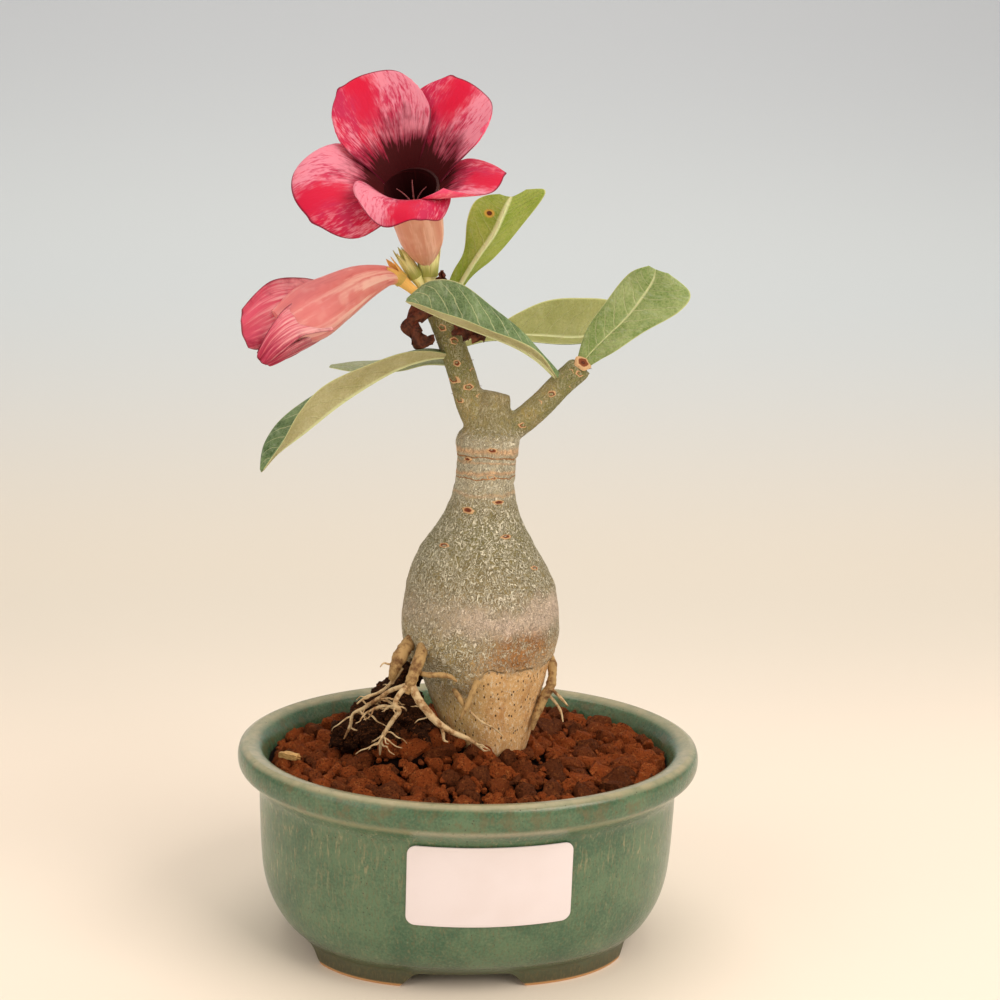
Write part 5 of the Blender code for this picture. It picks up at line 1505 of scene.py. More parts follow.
@dataclass
class FineRoots:
    """Thin roots that fork over the soil, with their side rootlets."""

    tan_forks: Tuple[Tuple[Row, ...], ...] = (
        ((-15.4, -13.0, 94.3, 1.9), (-17.1, -18.5, 91.3, 1.75), (-18.9, -21.6, 87.4, 1.6),
         (-20.0, -23.0, 84.3, 1.3), (-20.6, -23.6, 82.6, 0.7)),
        ((-18.7, -8.0, 94.5, 2), (-21.2, -12.0, 92.5, 2.1), (-23.0, -14.5, 89.9, 2.2),
         (-24.1, -15.0, 87.0, 1.6), (-24.9, -15.0, 84.3, 0.9)),
        ((22.0, -2.0, 89.2, 1.6), (23.5, -5.0, 86.9, 1.6), (23.8, -7.0, 83.8, 1.5),
         (23.0, -8.5, 80.2, 1.45), (21.1, -9.6, 77.4, 1.4), (19.6, -11.0, 74.1, 1.25),
         (18.2, -12.5, 71.5, 0.9), (17.3, -13.5, 68.4, 0.5)),
        ((-17.6, -18.0, 87.6, 0.8), (-14.9, -22.4, 88.0, 0.85), (-11.2, -23.2, 88.2, 0.8),
         (-8.1, -23.6, 87.7, 0.7), (-6.3, -23.8, 86.3, 0.3)),
        ((0.2, -19.0, 85.4, 1), (-0.9, -22.2, 84.3, 1.05), (-2.1, -23.2, 81.6, 0.95),
         (-3.5, -23.6, 78.4, 0.8), (-5.1, -23.6, 75.1, 0.4)),
        ((-6.7, -18.6, 82.3, 0.8), (-5.5, -22.0, 81.2, 0.85), (-4.0, -22.6, 78.7, 0.6),
         (-3.4, -22.6, 77.2, 0.3)))
    pale_forks: Tuple[Tuple[Row, ...], ...] = (
        ((-19.5, -22.6, 85.3, 1.2), (-17.4, -24.0, 81.3, 1.25), (-14.8, -25.0, 78.0, 1.2),
         (-11.9, -25.4, 74.8, 1.05), (-8.1, -25.6, 72.2, 0.9), (-4.0, -25.6, 70.3, 0.75),
         (-0.7, -25.0, 68.3, 0.55), (2.1, -24.0, 65.5, 0.25)),
        ((-10.7, -25.4, 73.6, 0.6), (-10.1, -26.0, 71.7, 0.5), (-9.8, -26.0, 69.6, 0.4),
         (-8.6, -26.0, 69.0, 0.2)),
        ((-20.1, -23.0, 84.9, 1), (-22.6, -23.6, 82.9, 0.85), (-24.0, -24.0, 79.8, 0.8),
         (-22.8, -24.0, 77.7, 0.75), (-24.5, -23.6, 74.9, 0.65), (-26.7, -23.0, 71.1, 0.6),
         (-27.8, -22.0, 67.7, 0.5), (-28.0, -20.5, 63.3, 0.25)),
        ((-20.3, -22.6, 85.0, 0.9), (-24.8, -19.0, 82.5, 0.65), (-28.4, -16.0, 79.1, 0.6),
         (-32.6, -13.0, 75.2, 0.55), (-35.8, -11.6, 72.9, 0.5), (-36.6, -11.0, 69.0, 0.45),
         (-38.4, -10.0, 64.7, 0.2)),
        ((-23.1, -24.0, 78.3, 0.5), (-26.5, -21.0, 78.3, 0.45), (-29.3, -19.0, 77.0, 0.45),
         (-32.7, -17.0, 74.6, 0.25)),
        ((-21.8, -15.0, 87.9, 0.6), (-24.6, -14.0, 83.4, 0.55), (-28.0, -13.0, 80.0, 0.5),
         (-32.1, -12.0, 78.2, 0.4), (-34.7, -11.0, 75.8, 0.2)),
        ((23.2, -9.0, 80.0, 0.6), (24.8, -11.0, 78.7, 0.5), (26.2, -12.0, 77.5, 0.4),
         (28.0, -13.0, 75.6, 0.2)),
        ((22.4, -9.0, 78.1, 0.5), (24.6, -11.0, 75.9, 0.45), (25.9, -13.0, 73.8, 0.35),
         (26.5, -14.0, 71.0, 0.2)),
        ((-22.4, -14.0, 90.0, 0.35), (-25.3, -15.0, 89.1, 0.3), (-27.1, -15.4, 89.5, 0.25),
         (-28.2, -15.6, 88.4, 0.15)),
        ((-2.2, -23.0, 77.0, 0.35), (1.3, -23.0, 74.0, 0.35), (4.9, -22.6, 72.0, 0.3),
         (7.7, -22.0, 69.4, 0.2)),
        ((14.6, 24, 82, 1.2), (10, 27.6, 76, 1.0), (5, 29.4, 69, 0.9), (1.4, 31.4, 62, 0.6), (1, 32, 57, 0.3)))
    twigs: int = 44
    seed: int = 21

    def side_rootlets(self) -> List[Sequence[Row]]:
        """Seeded rootlets that leave the forks and sink to the soil."""
        draw = random.Random(self.seed)
        made = []
        for number in range(self.twigs):
            fork = smooth(self.pale_forks[(0, 2, 3, 2, 3, 5, 4)[number % 7]], 40)
            x, y, z, radius = fork[draw.randrange(8, 36)]
            heading = draw.uniform(0.0, math.tau)
            length = draw.uniform(3.0, 8.5)
            points = [(x, y, z, radius * 0.45)]
            for part in range(1, 5):
                heading += draw.uniform(-0.7, 0.7)
                x += math.cos(heading) * length / 4
                y += math.sin(heading) * length / 4 * 0.7
                z = max(z - draw.uniform(-0.1, 0.9) * length / 4, 60.0)
                points.append((x, y, z, max(0.34 - 0.06 * part, 0.09)))
            made.append(points)
        return made

    def build(self) -> None:
        """Model the forks and rootlets."""
        tan = [bar("fork", fork, 10 * len(fork), 20, 0.22) for fork in self.tan_forks]
        piece = join(tan, "tan_roots")
        dress(piece, RootFinish(cream=seen(184, 144, 90), tan=seen(128, 88, 48)).material())
        finish(piece, "tan_roots", ["trunk"])
        bars = [bar("fork", fork, 8 * len(fork), 12, 0.2) for fork in self.pale_forks]
        bars += [bar("rootlet", points, 18, 6, 0.15) for points in self.side_rootlets()]
        piece = join(bars, "roots")
        dress(piece, RootFinish().material())
        finish(piece, "fine_roots", ["trunk"])


@dataclass
class PeatClump:
    """Dry peat caught between the left roots."""

    lumps: Tuple[Row, ...] = (
        (-20.0, 4.0, 80.0, 5.2), (-25.0, 0.0, 74.6, 6.0), (-19.6, -7.0, 72.0, 6.0), (-15.6, -12.0, 66.0, 5.0),
        (-32.0, 1.0, 67.6, 6.0), (-27.0, -7.0, 66.4, 6.6), (-22.6, -11.6, 63.6, 5.4), (-37.0, -3.0, 63.4, 5.6),
        (-23.6, 9.0, 70.0, 6.0), (-20.0, -2.0, 64.0, 9.0), (-31.0, -9.0, 66.0, 5.0))
    crumbs: int = 420
    seed: int = 5

    def build(self) -> None:
        """Knead the lumps together and roughen them."""
        balls = []
        for x, y, z, radius in self.lumps:
            deselect()
            bpy.ops.mesh.primitive_ico_sphere_add(subdivisions=3, radius=radius * 0.9, location=(x, y, z))
            bpy.ops.object.transform_apply(location=True, rotation=True, scale=True)
            balls.append(bpy.context.object)
        body = join(balls, "peat_body")
        apply(body, "REMESH", mode="VOXEL", voxel_size=0.9)
        places = points_of(body)
        rough = wander(places, 0.34, 3.0) * 1.6 + wander(places, 0.8, 9.0) * 1.1
        move_points(body, places + normals_of(body) * (rough - 0.2)[:, None])
        draw = random.Random(self.seed)
        pieces = [body]
        skin = points_of(body)
        for _ in range(self.crumbs):
            place = skin[draw.randrange(len(skin))]
            if place[2] < 60.0:
                continue
            deselect()
            bpy.ops.mesh.primitive_ico_sphere_add(subdivisions=2, radius=draw.uniform(0.35, 1.5))
            crumb = bpy.context.object
            spots = points_of(crumb)
            spots *= 1.0 + wander(spots, 1.6, place[0])[:, None] * 0.7
            move_points(crumb, spots + place)
            pieces.append(crumb)
        peat = join(pieces, "peat_body")
        dress(peat, PeatFinish().material())
        finish(peat, "dry_peat", ["peat_clump"], 50.0)


@dataclass
class Leaf:
    """One leaf through rows of middle, near edge and far edge, from its stalk to its tip."""

    node: str
    rows: Tuple[Tuple[Row, Row, Row], ...]
    upper: LeafFinish
    under: LeafFinish
    first_face_is_upper: bool = True
    thickness: float = 0.42
    rib: float = 0.75
    cup: float = 0.05
    wave: float = 0.25
    columns: int = 32
    count: int = 64

    def middle_grid(self) -> Array:
        """Places of the leaf's middle layer."""
        middle, near, far = rails_through(self.rows, self.count + 1)
        share = np.linspace(-1.0, 1.0, self.columns + 1)
        side = np.abs(share)[None, :, None]
        edge = np.where(share[None, :, None] < 0, near[:, None], far[:, None])
        grid = middle[:, None] + (edge - middle[:, None]) * side
        facing = grid_normals(grid)
        width = np.linalg.norm(edge - middle[:, None], axis=2, keepdims=True)
        bulge = width * self.cup * np.sin(math.pi * side) * (1.0 if self.first_face_is_upper else -1.0)
        along = np.linspace(0.0, 1.0, self.count + 1)[:, None, None]
        ripple = self.wave * side ** 2 * np.sin(along * 17.0 + share[None, :, None] * 2.0)
        ripple = ripple * np.sin(math.pi * along)
        return grid + facing * (bulge + ripple)

    def build(self) -> None:
        """Model the leaf with its midrib and dress both faces."""
        grid = self.middle_grid()
        share = np.abs(np.linspace(-1.0, 1.0, self.columns + 1))[None, :]
        along = np.linspace(0.0, 1.0, self.count + 1)[:, None]
        body = self.thickness * taper(share, 8) * (1.15 - 0.5 * along) * taper(along, 30)
        rib = self.rib * np.exp(-(share / 0.075) ** 2) * (1.0 - 0.8 * along)
        groove = 0.16 * np.exp(-(share / 0.06) ** 2)
        top, bottom = body - groove * taper(along, 30), body + rib * (along < 1.0)
        paints = [self.upper.material(), self.under.material()]
        if not self.first_face_is_upper:
            top, bottom = bottom, top
            paints = paints[::-1]
        leaf = blade(self.node + "_blade", grid, top, bottom, paints)
        finish(leaf, self.node + "_blade", [self.node], 60.0)


@dataclass
class OpenBloom:
    """The open bloom: tube, five petals and the anther cone in its throat."""

    throat: Row = (-22.4, -20.0, 226.4)
    axis: Row = (-0.10, -0.669, 0.743)
    tube: Tuple[Row, ...] = (
        (-15.6, -0.5, 201.6, 1.5), (-16.3, -1.6, 205.2, 2.3), (-17.1, -3.3, 207.8, 4.2),
        (-18.0, -5.8, 211.4, 6.1), (-19.3, -9.7, 216.2, 7.0), (-20.9, -14.8, 221.2, 7.5),
        (-22.3, -19.2, 225.6, 8.1))
    wall: float = 0.7
    start: float = 7.7
    reach: float = 31.0
    spread: float = 51.0
    twist: float = 1.2
    dip: float = 1.7
    ripple: float = 0.7
    rounding: float = 0.46
    funnel_height: float = 20.0
    funnel_ease: float = 14.0
    petals: Tuple[Row, ...] = (
        (50.0, 1.03, 0.0, 0.93, 0.0, 0.3), (116.0, 1.07, 0.0, 0.94, 0.0, 0.3),
        (203.0, 0.68, -4.6, 1.06, 2.0, 0.4), (262.0, 1.0, -4.6, 0.86, 0.0, 1.9),
        (332.0, 0.7, 0.0, 0.87, 4.0, 0.6))
    rows: int = 44
    columns: int = 44
    cone_length: float = 9.0
    cone_radius: float = 2.6
    tail: Tuple[Row, ...] = ((6.0, 0.3, 0.3), (9.0, 0.5, 0.24), (11.2, 1.1, 0.18), (12.4, 1.7, 0.1))

    def directions(self) -> Tuple[Array, Array, Array]:
        """Across, back and out."""
        out = Vector(self.axis).normalized()
        across = Vector((1.0, 0.0, 0.0))
        across = (across - out * across.dot(out)).normalized()
        return np.array(across), np.array(out.cross(across)), np.array(out)

    def petal_grid(self, azimuth: float, lift: float, droop: float, reach: float, roll: float,
                   wave: float) -> Array:
        """Places of one petal's middle layer, across by along."""
        across, back, out = self.directions()
        s = np.linspace(0.0, 1.0, self.rows + 1)[:, None]
        t = np.linspace(1.0, -1.0, self.columns + 1)[None, :]
        fan = np.radians(self.spread) * (0.84 + 0.16 * np.sin(math.pi * s ** 0.8)) * (1.0 - 0.2 * s ** 4)
        angle = math.radians(azimuth) + t * fan
        length = self.reach * reach - self.start
        radius = self.start + length * s * (1.0 - self.rounding * (1.0 - np.sqrt(1.0 - 0.98 * t * t)) * s)
        radius = radius + 0.8 * np.exp(-((t - 0.4) / 0.08) ** 2) * s ** 16
        height = lift * self.funnel_height * (1.0 - np.exp(-(radius - self.start) / self.funnel_ease))
        height = height + droop * s ** 3 - self.twist * t * np.minimum(1.0, 2.0 * s) - self.dip * (1.0 - s) ** 3
        height = height - roll * (t + 0.2) * s ** 1.5
        height = height + self.ripple * np.sin(3.0 * t + azimuth) * s * s
        height = height + wave * np.sin(5.7 * t - 0.14) * s ** 2.5
        height = height + 0.25 * np.sin(8.0 * t + azimuth * 2.0) * s ** 3 * np.abs(t)
        outward = across * np.cos(angle)[..., None] + back * np.sin(angle)[..., None]
        return np.array(self.throat) + outward * radius[..., None] + out * height[..., None]

    def build(self) -> None:
        """Model the bloom."""
        front, behind = PetalFinish().material(), PetalBackFinish().material()
        parts = []
        for petal in self.petals:
            grid = self.petal_grid(*petal)
            t = np.abs(np.linspace(-1.0, 1.0, self.columns + 1))[None, :]
            s = np.linspace(0.0, 1.0, self.rows + 1)[:, None]
            half = 0.3 * taper(t, 10) * taper(s, 20)
            half = half + 0.12 * (1.0 - s) * (t < 1.0)
            parts.append(blade("petal", grid, half, half, [front, behind]))
        stations = smooth(self.tube, 44)
        rings = rings_along(stations, 60)
        wall = sheet("tube", np.concatenate([rings, rings[:, :1]], axis=1))
        outer = TubeFinish("bloom_tube", seen(214, 146, 116), seen(236, 178, 148), seen(204, 124, 98))
        dress(wall, outer.material(), ThroatFinish().material())
        weld(wall)
        face_outward(wall)
        apply(wall, "SOLIDIFY", thickness=self.wall, offset=-1.0, material_offset=1, material_offset_rim=1)
        bloom = join([wall] + parts, "bloom")
        finish(bloom, "open_corolla", ["bloom_corolla"], 70.0)
        self.build_anthers()

    def build_anthers(self) -> None:
        """Model the anther cone, its filaments and the long feathery tails."""
        stations = smooth(self.tube, 10)
        foot = stations[6, :3]
        out = stations[-1, :3] - foot
        out /= np.linalg.norm(out)
        across = np.array(Vector(out).orthogonal().normalized())
        back = np.cross(out, across)
        share = np.array((0.0, 0.08, 0.3, 0.55, 0.8, 1.0))
        width = np.array((0.3, 0.6, 1.0, 0.72, 0.4, 0.12)) * self.cone_radius
        angle = np.linspace(0.0, math.tau, 40, endpoint=False)
        lobes = 0.78 + 0.22 * np.cos(5.0 * angle)
        spoke = across * np.cos(angle)[:, None] + back * np.sin(angle)[:, None]
        height = (out * share[:, None] * self.cone_length)[:, None]
        rings = foot + height + spoke * (width[:, None] * lobes)[..., None]
        cone = wrap("cone", rings)
        yellow = PlainFinish("anther_yellow", seen(206, 160, 70), seen(246, 214, 130), 0.55, 0.9)
        dress(cone, yellow.material())
        # The filaments and tails are pale pink; this dusky pink is that colour darkened as painted shade inside
        # the throat.
        shaded_pink = PlainFinish("filament_pink_shaded", seen(140, 60, 62), seen(196, 112, 108), 0.5, 1.2).material()
        parts = [cone]
        reach = stations[6, 3] - 2.1
        for number in range(5):
            turn = math.tau * number / 5
            outward = across * math.cos(turn) + back * math.sin(turn)
            points = [tuple(foot + out * rise + outward * reach * far) + (0.38,)
                      for rise, far in ((3.0, 0.2), (0.6, 0.6), (-1.2, 1.0))]
            filament = bar("filament", points, 12, 10)
            dress(filament, shaded_pink)
            parts.append(filament)
            tail = [tuple(foot + out * rise + outward * self.cone_radius * far) + (radius,)
                    for rise, far, radius in self.tail]
            feather = bar("tail", tail, 14, 8)
            dress(feather, shaded_pink)
            parts.append(feather)
        finish(join(parts, "anthers"), "anther_cone", ["bloom_anthers"], 50.0)


@dataclass
class Calyx:
    """A stem that widens to a cup with five pointed sepals."""

    node: str
    stem: Tuple[Row, ...]
    radius: float
    length: float
    half_width: float
    splay: float
    cup: float = 0.8

    def build(self, paint: Material) -> None:
        """Model the stem, the cup and the sepals.

        Args:
            paint: The finish of the whole calyx.
        """
        stations = smooth(self.stem, 14)
        tip = stations[-1, :3]
        out = tip - stations[-2, :3]
        out /= np.linalg.norm(out)
        brim = np.append(tip + out * self.cup, self.radius - 0.15)
        body = wrap("stem", rings_along(np.vstack([stations, brim]), 30))
        across = np.array(Vector(out).orthogonal().normalized())
        back = np.cross(out, across)
        parts = [body]
        s = np.linspace(0.0, 1.0, 19)[:, None]
        t = np.linspace(-1.0, 1.0, 11)[None, :]
        for number in range(5):
            turn = math.tau * (number + 0.5) / 5 + 0.2
            outward = across * math.cos(turn) + back * math.sin(turn)
            sideways = np.cross(out, outward)
            wide = self.half_width * np.interp(s, (0.0, 0.3, 0.6, 0.85, 1.0), (1.05, 1.1, 0.78, 0.34, 0.03))
            flare = self.radius * (1.0 + (self.splay - 1.0) * s ** 1.3) + 0.25 * s
            rise = self.length * (s - 0.12)
            length = 1.0 + 0.06 * math.sin(number * 2.3)
            bend = wide * t / np.maximum(flare, 1.2)
            reach = flare * np.cos(bend)
            grid = (tip + out * self.cup + out * (rise * length + 0.0 * t)[..., None]
                    + outward * reach[..., None] + sideways * (flare * np.sin(bend))[..., None])
            half = 0.19 * taper(t, 6) * (1.0 - 0.4 * s) * (s < 1.0)
            parts.append(blade("sepal", grid, half, half, [paint]))
        body.data.materials.append(paint)
        finish(join(parts, self.node + "_sepals"), self.node + "_sepals", [self.node], 60.0)


@dataclass
class WiltedBloom:
    """The wilted bloom: a full tube with its petals folded down over each other."""

    tube: Tuple[Row, ...] = (
        (-24.6, -4.2, 200.4, 1.8), (-28.6, -6.0, 200.8, 3.2), (-35.5, -9.0, 198.6, 5.4),
        (-42.6, -12.4, 194.6, 7.0), (-50.0, -16.0, 190.2, 8.0), (-57.5, -18.8, 186.4, 5.2))
    folds: Tuple[Tuple[Tuple[Row, Row, Row], ...], ...] = (
        (((-44, -12, 193), (-43, -10, 198.6), (-44, -16, 188)),
         ((-54, -16, 193), (-52, -12, 200), (-54, -21, 186)),
         ((-62, -19, 190), (-60.5, -14, 199), (-62, -22.5, 181)),
         ((-68, -22, 186), (-68, -19, 191), (-66, -23, 181))),
        (((-44, -19, 189), (-45, -16, 193.5), (-43, -20, 186)),
         ((-53, -24, 188), (-52, -20.5, 194.5), (-50.5, -24.5, 185)),
         ((-59, -26, 184), (-58, -24.5, 190), (-57, -26, 180)),
         ((-63, -26, 178), (-63.6, -25.5, 180), (-61, -26, 176.6))),
        (((-43, -15, 186), (-44, -19, 187), (-43, -11, 186)),
         ((-50, -18, 182), (-51, -22, 184), (-49, -12, 181.5)),
         ((-57, -20, 178.5), (-57, -24, 180), (-56, -15, 177.5)),
         ((-61, -21, 176.5), (-61, -23, 177), (-60, -18, 176))),
        (((-43, -8, 193), (-43, -8, 197), (-43, -9, 188)),
         ((-52, -8, 192), (-51, -9, 198), (-52, -8, 184)),
         ((-60, -11, 188), (-60, -12, 195), (-59, -11, 180)),
         ((-65, -15, 184), (-66, -16, 187), (-64, -15, 181))))

    def build(self) -> None:
        """Model the tube and the folded petals."""
        body = bar("faded_tube", self.tube, 54, 64)
        flesh = TubeFinish("wilted_tube", seen(222, 124, 112), seen(252, 200, 176), seen(188, 80, 80), 16.0,
                           seen(226, 124, 124), seen(236, 176, 96))
        dress(body, flesh.material())
        petal = FadedFinish().material()
        parts = [body]
        for number, rows in enumerate(self.folds):
            middle, near, far = rails_through(rows, 41)
            share = np.linspace(-1.0, 1.0, 33)[None, :, None]
            spread = (near[:, None] * (share - 1.0) + far[:, None] * (share + 1.0)) * 0.5 * share
            grid = middle[:, None] * (1.0 - share ** 2) + spread
            along = np.linspace(0.0, 1.0, 41)[:, None, None]
            crumple = 0.5 * np.sin(share * 7.0 + number) * along
            crumple = crumple + 0.35 * np.sin(along * 11.0 + share * 5.0) * share ** 2
            grid = grid + grid_normals(grid) * crumple
            half = 0.32 * taper(share[..., 0], 8) * taper(along[..., 0], 20)
            parts.append(blade("fold", grid, half, half, [petal]))
        finish(join(parts, "wilted"), "wilted_corolla", ["faded_corolla"], 70.0)


@dataclass
class DryBract:
    """A curled dry bract through rows of middle and both edges."""

    node: str
    rows: Tuple[Tuple[Row, Row, Row], ...]
    fullness: float = 1.6

    def build(self, paint: Material) -> None:
        """Model the bract.

        Args:
            paint: Its finish.
        """
        middle, near, far = rails_through(self.rows, 31)
        share = np.linspace(-1.0, 1.0, 15)[None, :, None]
        edge = np.where(share < 0, near[:, None], far[:, None])
        along = np.linspace(0.0, 1.0, 31)[:, None, None]
        jag = self.fullness * (1.0 + 0.3 * np.sin(along * 23.0 + share * 4.0))
        grid = middle[:, None] + (edge - middle[:, None]) * np.abs(share) * jag
        curl = 1.3 * share ** 2 + 1.1 * np.sin(along * 17.0 + share * 5.0) * (0.35 + 0.65 * np.abs(share)) - 0.5
        grid = grid + grid_normals(grid) * curl * np.sin(math.pi * np.clip(along, 0.02, 0.98)) ** 0.5
        half = 0.24 * taper(share[..., 0], 6) * taper(along[..., 0], 12)
        bract = blade(self.node + "_scale", grid, half, half, [paint])
        finish(bract, self.node + "_scale", [self.node], 60.0)


# The studio

@dataclass
class Studio:
    """Pale sweep, soft lights and the camera."""

    eye: Row = (-42.868, -464.592, 217.058)
    right: Row = (0.9943639, -0.1018257, 0.0295283)
    up: Row = (-0.0114061, 0.1741529, 0.9846526)
    forward: Row = (0.1054054, 0.9794398, -0.1720099)
    lens: float = 57.25
    floor_colour: Colour = seen(248, 226, 202)
    low_shade_colour: Colour = seen(229, 213, 192)
    mid_shade_colour: Colour = seen(212, 212, 208)
    wall_shade_colour: Colour = seen(200, 199, 198)
    lights: Tuple[Tuple[str, Row, float, float], ...] = (
        ("key_light", (0.75, -0.75, 0.95), 0.9, 12.0), ("fill_light", (-0.95, -0.6, 0.6), 1.0, 4.4),
        ("top_light", (0.0, 0.25, 1.3), 1.0, 5.6))
    air: float = 0.5

    def sweep(self) -> None:
        """A floor that curves up to a wall."""
        turn = np.linspace(0.0, math.pi / 2, 24)
        profile = [(-2.5, 0.0), (0.25, 0.0)]
        profile += [(0.25 + 1.1 * math.sin(a), 1.1 * (1.0 - math.cos(a))) for a in turn[1:]]
        profile += [(1.35, 3.2)]
        across = np.linspace(-3.5, 3.5, 3)
        grid = np.array([[(x, y, z) for x in across] for y, z in profile])
        floor = sheet("studio_sweep", grid)
        bpy.ops.object.shade_smooth()
        paint = Paint("studio_paper", Roughness=0.95, Specular_IOR_Level=0.0)
        _, y, _ = paint.parts(paint.place())
        # Painted shade: the paper greys and darkens from the warm floor up the wall, as the light falls off.
        colour = paint.layers(
            self.floor_colour, (self.low_shade_colour, y.rise(100.0, 420.0)), (self.mid_shade_colour, y.rise(420.0, 850.0)),
            (self.wall_shade_colour, y.rise(850.0, 1150.0)))
        floor.data.materials.append(paint.feed(Base_Color=colour))

    def light(self, name: str, place: Row, size: float, power: float) -> None:
        """One soft square light aimed at the plant."""
        data = bpy.data.lights.new(name, "AREA")
        data.size = size
        data.energy = power
        data.color = STUDIO_LIGHT
        lamp = bpy.data.objects.new(name, data)
        lamp.location = place
        lamp.rotation_euler = (Vector((0.0, 0.0, 0.12)) - Vector(place)).to_track_quat("-Z", "Y").to_euler()
        bpy.context.scene.collection.objects.link(lamp)

    def camera(self) -> None:
        """The camera of the picture."""
        data = bpy.data.cameras.new("picture_camera")
        data.lens = self.lens
        data.sensor_width = 36.0
        data.clip_start = 0.01
        camera = bpy.data.objects.new("picture_camera", data)
        columns = (self.right, self.up, tuple(-value for value in self.forward))
        turn = Matrix(columns).transposed().to_4x4()
        camera.matrix_world = Matrix.Translation(Vector(self.eye) * MM) @ turn
        bpy.context.scene.collection.objects.link(camera)
        bpy.context.scene.camera = camera

    def build(self) -> None:
        """Set up the sweep, the lights, the camera and the tone of the picture."""
        self.sweep()
        for light in self.lights:
            self.light(*light)
        self.camera()
        world = bpy.data.worlds.new("studio_air")
        world.use_nodes = True
        sky = world.node_tree.nodes["Background"]
        sky.inputs[0].default_value = (*STUDIO_LIGHT, 1.0)
        sky.inputs[1].default_value = self.air
        bpy.context.scene.world = world
        bpy.context.scene.view_settings.view_transform = "Standard"


LEAF_DARK = LeafFinish(LeafFace.UPPER, seen(54, 80, 32), seen(132, 150, 98))
LEAF_BRIGHT = LeafFinish(LeafFace.UPPER, seen(98, 122, 48), seen(172, 178, 116))
LEAF_PALE = LeafFinish(LeafFace.UNDER, seen(142, 140, 76), seen(174, 168, 108))
LEAF_TAN = LeafFinish(LeafFace.UNDER, seen(160, 146, 92), seen(196, 182, 134))
LEAF_GREY = LeafFinish(LeafFace.UPPER, seen(138, 144, 96), seen(180, 180, 142))
LEAF_SPOTTED = LeafFinish(LeafFace.UNDER, seen(122, 138, 40), seen(164, 166, 80), spot=(0.3, 0.62))

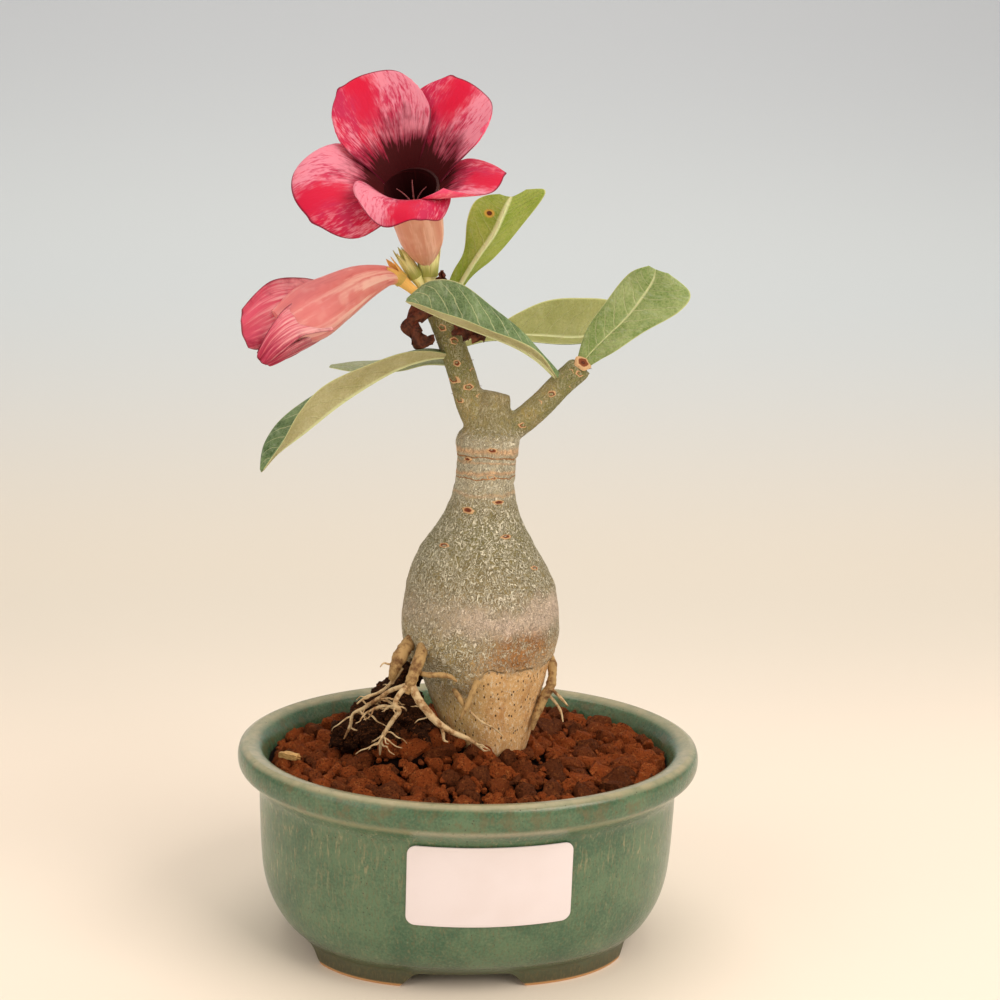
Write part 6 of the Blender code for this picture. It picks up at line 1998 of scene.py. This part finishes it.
LEAVES = (
    Leaf("leaf_top", (
        ((-12.4, 0.2, 187.6), (-13.2, 0.6, 188.0), (-11.4, 0.6, 187.4)),
        ((-6.0, 1.0, 199.5), (-9.0, 2.5, 201.0), (-4.0, 4.0, 199.5)),
        ((-1.5, 1.0, 207.0), (-5.5, 3.5, 208.0), (3.5, 6.0, 206.5)),
        ((3.0, 1.5, 213.5), (-4.5, 5.0, 217.0), (11.0, 8.5, 214.5)),
        ((6.0, 3.0, 220.0), (-2.5, 6.0, 222.5), (17.5, 9.0, 223.5)),
        ((7.5, 4.5, 223.0), (0.5, 6.5, 224.5), (18.5, 9.0, 227.0)),
        ((8.4, 5.6, 224.4), (5.0, 6.5, 225.2), (13.0, 8.0, 226.8))), LEAF_DARK, LEAF_SPOTTED, False),
    Leaf("leaf_right", (
        ((28.6, -1.6, 174.6), (28.0, -1.6, 175.4), (29.6, -1.6, 174.2)),
        ((32.0, -2.0, 179.5), (29.5, -1.0, 182.0), (35.0, -3.0, 178.0)),
        ((36.5, -3.0, 184.5), (31.5, -1.5, 188.0), (40.0, -6.0, 181.5)),
        ((42.5, -4.5, 191.0), (36.5, -2.5, 195.5), (47.0, -8.0, 187.0)),
        ((47.0, -6.0, 198.0), (40.5, -4.0, 201.5), (56.5, -10.0, 193.0)),
        ((49.0, -7.0, 202.0), (43.5, -6.0, 204.5), (59.5, -10.0, 198.5)),
        ((49.5, -7.5, 205.0), (47.5, -7.5, 206.0), (53.0, -9.0, 204.0))), LEAF_BRIGHT, LEAF_PALE),
    Leaf("leaf_front", (
        ((24.2, -1.6, 171.2), (23.6, -2.2, 171.2), (25.2, -0.8, 171.8)),
        ((17.5, -6.5, 177.5), (17.0, -9.0, 179.5), (19.0, -3.5, 178.5)),
        ((10.0, -11.0, 182.0), (8.5, -15.5, 184.5), (12.0, -6.0, 185.5)),
        ((1.0, -15.5, 185.5), (-1.5, -22.0, 188.0), (3.5, -9.0, 192.5)),
        ((-9.0, -20.0, 189.0), (-11.0, -27.5, 191.5), (-7.0, -13.0, 199.5)),
        ((-17.5, -24.0, 192.5), (-18.5, -29.0, 194.0), (-16.0, -18.0, 200.5)),
        ((-23.2, -26.2, 195.0), (-23.5, -26.8, 195.0), (-23.0, -25.4, 195.8))), LEAF_DARK, LEAF_TAN),
    Leaf("leaf_back", (
        ((-7.2, 0.6, 181.0), (-7.4, 0.8, 182.0), (-7.0, 0.4, 180.0)),
        ((2.0, 7.0, 183.5), (2.5, 8.5, 184.5), (2.5, 4.5, 182.5)),
        ((11.5, 12.0, 183.5), (12.0, 15.0, 190.0), (11.0, 6.0, 182.5)),
        ((21.5, 16.5, 183.0), (22.0, 19.5, 194.0), (20.5, 9.0, 182.0)),
        ((31.5, 21.0, 182.5), (33.0, 24.0, 194.8), (30.5, 13.0, 181.5)),
        ((42.0, 25.5, 184.0), (43.0, 27.5, 194.0), (41.0, 20.0, 182.5)),
        ((49.0, 29.0, 188.0), (48.8, 29.0, 189.0), (48.8, 28.0, 187.0))), LEAF_DARK, LEAF_PALE, False, rib=0.3),
    Leaf("leaf_left", (
        ((-7.8, -0.4, 178.2), (-7.8, -1.2, 178.4), (-7.8, 0.4, 179.0)),
        ((-16.0, -4.0, 177.5), (-17.0, -8.0, 180.0), (-17.0, 0.5, 180.0)),
        ((-26.0, -7.5, 174.0), (-28.0, -15.0, 178.5), (-29.0, 1.0, 176.0)),
        ((-39.5, -13.5, 166.0), (-43.5, -21.0, 172.0), (-44.5, -3.0, 169.0)),
        ((-51.0, -17.5, 157.0), (-52.0, -23.0, 163.5), (-56.0, -8.0, 161.0)),
        ((-58.0, -19.5, 151.5), (-57.0, -23.0, 154.5), (-62.0, -13.0, 153.5)),
        ((-62.5, -21.0, 146.2), (-62.0, -21.4, 146.8), (-62.9, -20.4, 147.0))), LEAF_DARK, LEAF_TAN, rib=0.3),
    Leaf("leaf_small", (
        ((-6.6, 0.6, 175.6), (-6.6, 0.0, 175.2), (-6.8, 1.4, 176.2)),
        ((-14.5, 5.5, 176.3), (-15.0, 2.5, 175.0), (-15.0, 8.5, 177.0)),
        ((-23.0, 10.0, 174.8), (-23.5, 4.5, 173.0), (-22.5, 15.0, 176.0)),
        ((-32.5, 14.5, 173.3), (-33.0, 8.0, 172.0), (-31.5, 19.0, 174.5)),
        ((-40.0, 18.5, 172.6), (-40.0, 14.5, 172.0), (-39.0, 21.0, 173.5)),
        ((-44.0, 20.0, 172.4), (-44.0, 19.4, 172.2), (-43.6, 20.6, 172.9))), LEAF_GREY, LEAF_TAN, rib=0.3))

CALYXES = (
    Calyx("bloom_calyx", ((-15.2, -0.3, 195.6, 1.5), (-15.2, -0.2, 198.0, 1.6), (-15.5, -0.4, 201.4, 2.3)),
          2.4, 9.6, 1.7, 1.75),
    Calyx("faded_calyx", ((-17.0, -1.4, 194.6, 1.3), (-20.6, -2.6, 197.4, 1.4), (-23.6, -3.7, 199.8, 1.9)),
          2.0, 7.2, 1.5, 1.5),
    Calyx("spent_calyx", ((-16.2, -0.2, 194.6, 1.2), (-17.8, -0.7, 198.4, 1.3), (-19.6, -1.5, 201.2, 1.9)),
          2.0, 9.8, 1.45, 0.7))

BRACTS = (
    DryBract("dry_bract_left", (
        ((-13.4, -2.4, 191.2), (-13.2, -2.6, 192.6), (-13.6, -2.2, 190.0)),
        ((-18.0, -6.0, 191.0), (-18.4, -5.4, 192.6), (-17.4, -6.2, 189.6)),
        ((-20.6, -7.2, 188.0), (-22.2, -7.0, 188.6), (-19.2, -7.6, 187.4)),
        ((-19.6, -7.6, 184.6), (-21.2, -7.2, 184.4), (-18.2, -8.2, 184.8)),
        ((-17.2, -7.2, 182.2), (-18.2, -6.8, 181.0), (-16.6, -7.6, 183.4)),
        ((-13.8, -5.6, 183.0), (-14.0, -5.4, 182.2), (-13.8, -5.8, 183.8)))),
    DryBract("dry_bract_right", (
        ((-8.8, -2.4, 187.6), (-8.8, -2.2, 189.0), (-9.0, -2.6, 186.4)),
        ((-5.2, -5.0, 186.6), (-4.6, -4.4, 188.4), (-5.8, -5.4, 184.8)),
        ((-1.8, -6.0, 185.2), (-1.0, -5.4, 186.8), (-2.6, -6.4, 183.8)),
        ((1.0, -5.4, 183.8), (1.3, -5.2, 184.6), (0.7, -5.6, 183.2)))),
    DryBract("small_bract", (
        ((-12.8, -3.0, 197.6), (-13.6, -3.0, 197.6), (-12.0, -3.0, 197.6)),
        ((-12.2, -4.2, 199.6), (-13.2, -4.0, 199.6), (-11.4, -4.0, 199.6)),
        ((-12.0, -4.2, 201.4), (-12.7, -4.2, 201.4), (-11.4, -4.2, 201.4)),
        ((-12.1, -4.0, 203.0), (-12.3, -4.0, 203.0), (-11.9, -4.0, 203.0)))))


def main() -> None:
    """Build every sub-assembly in order."""
    logging.basicConfig(level=logging.INFO, format="%(name)s %(message)s")
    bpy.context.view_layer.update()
    bowl = PotBowl()
    bowl.build()
    Label(bowl).build()
    SoilBed().build()
    DrainMeshes().build()
    WoodChip().build()
    trunk = Trunk()
    trunk.build()
    LeafScars(trunk).build()
    FineRoots().build()
    PeatClump().build()
    for leaf in LEAVES:
        leaf.build()
    OpenBloom().build()
    green_calyx = CalyxFinish().material()
    orange_calyx = CalyxFinish("faded_calyx_skin", seen(206, 170, 80), seen(250, 190, 98)).material()
    for calyx in CALYXES:
        calyx.build(orange_calyx if calyx.node == "faded_calyx" else green_calyx)
    WiltedBloom().build()
    dry = PlainFinish("dry_scale", seen(56, 22, 12), seen(122, 62, 36), 0.55, 0.5, depth=0.4)
    dry_paint = dry.material()
    for bract in BRACTS:
        bract.build(dry_paint)
    Studio().build()
    deselect()


if __name__ == "__main__":
    main()
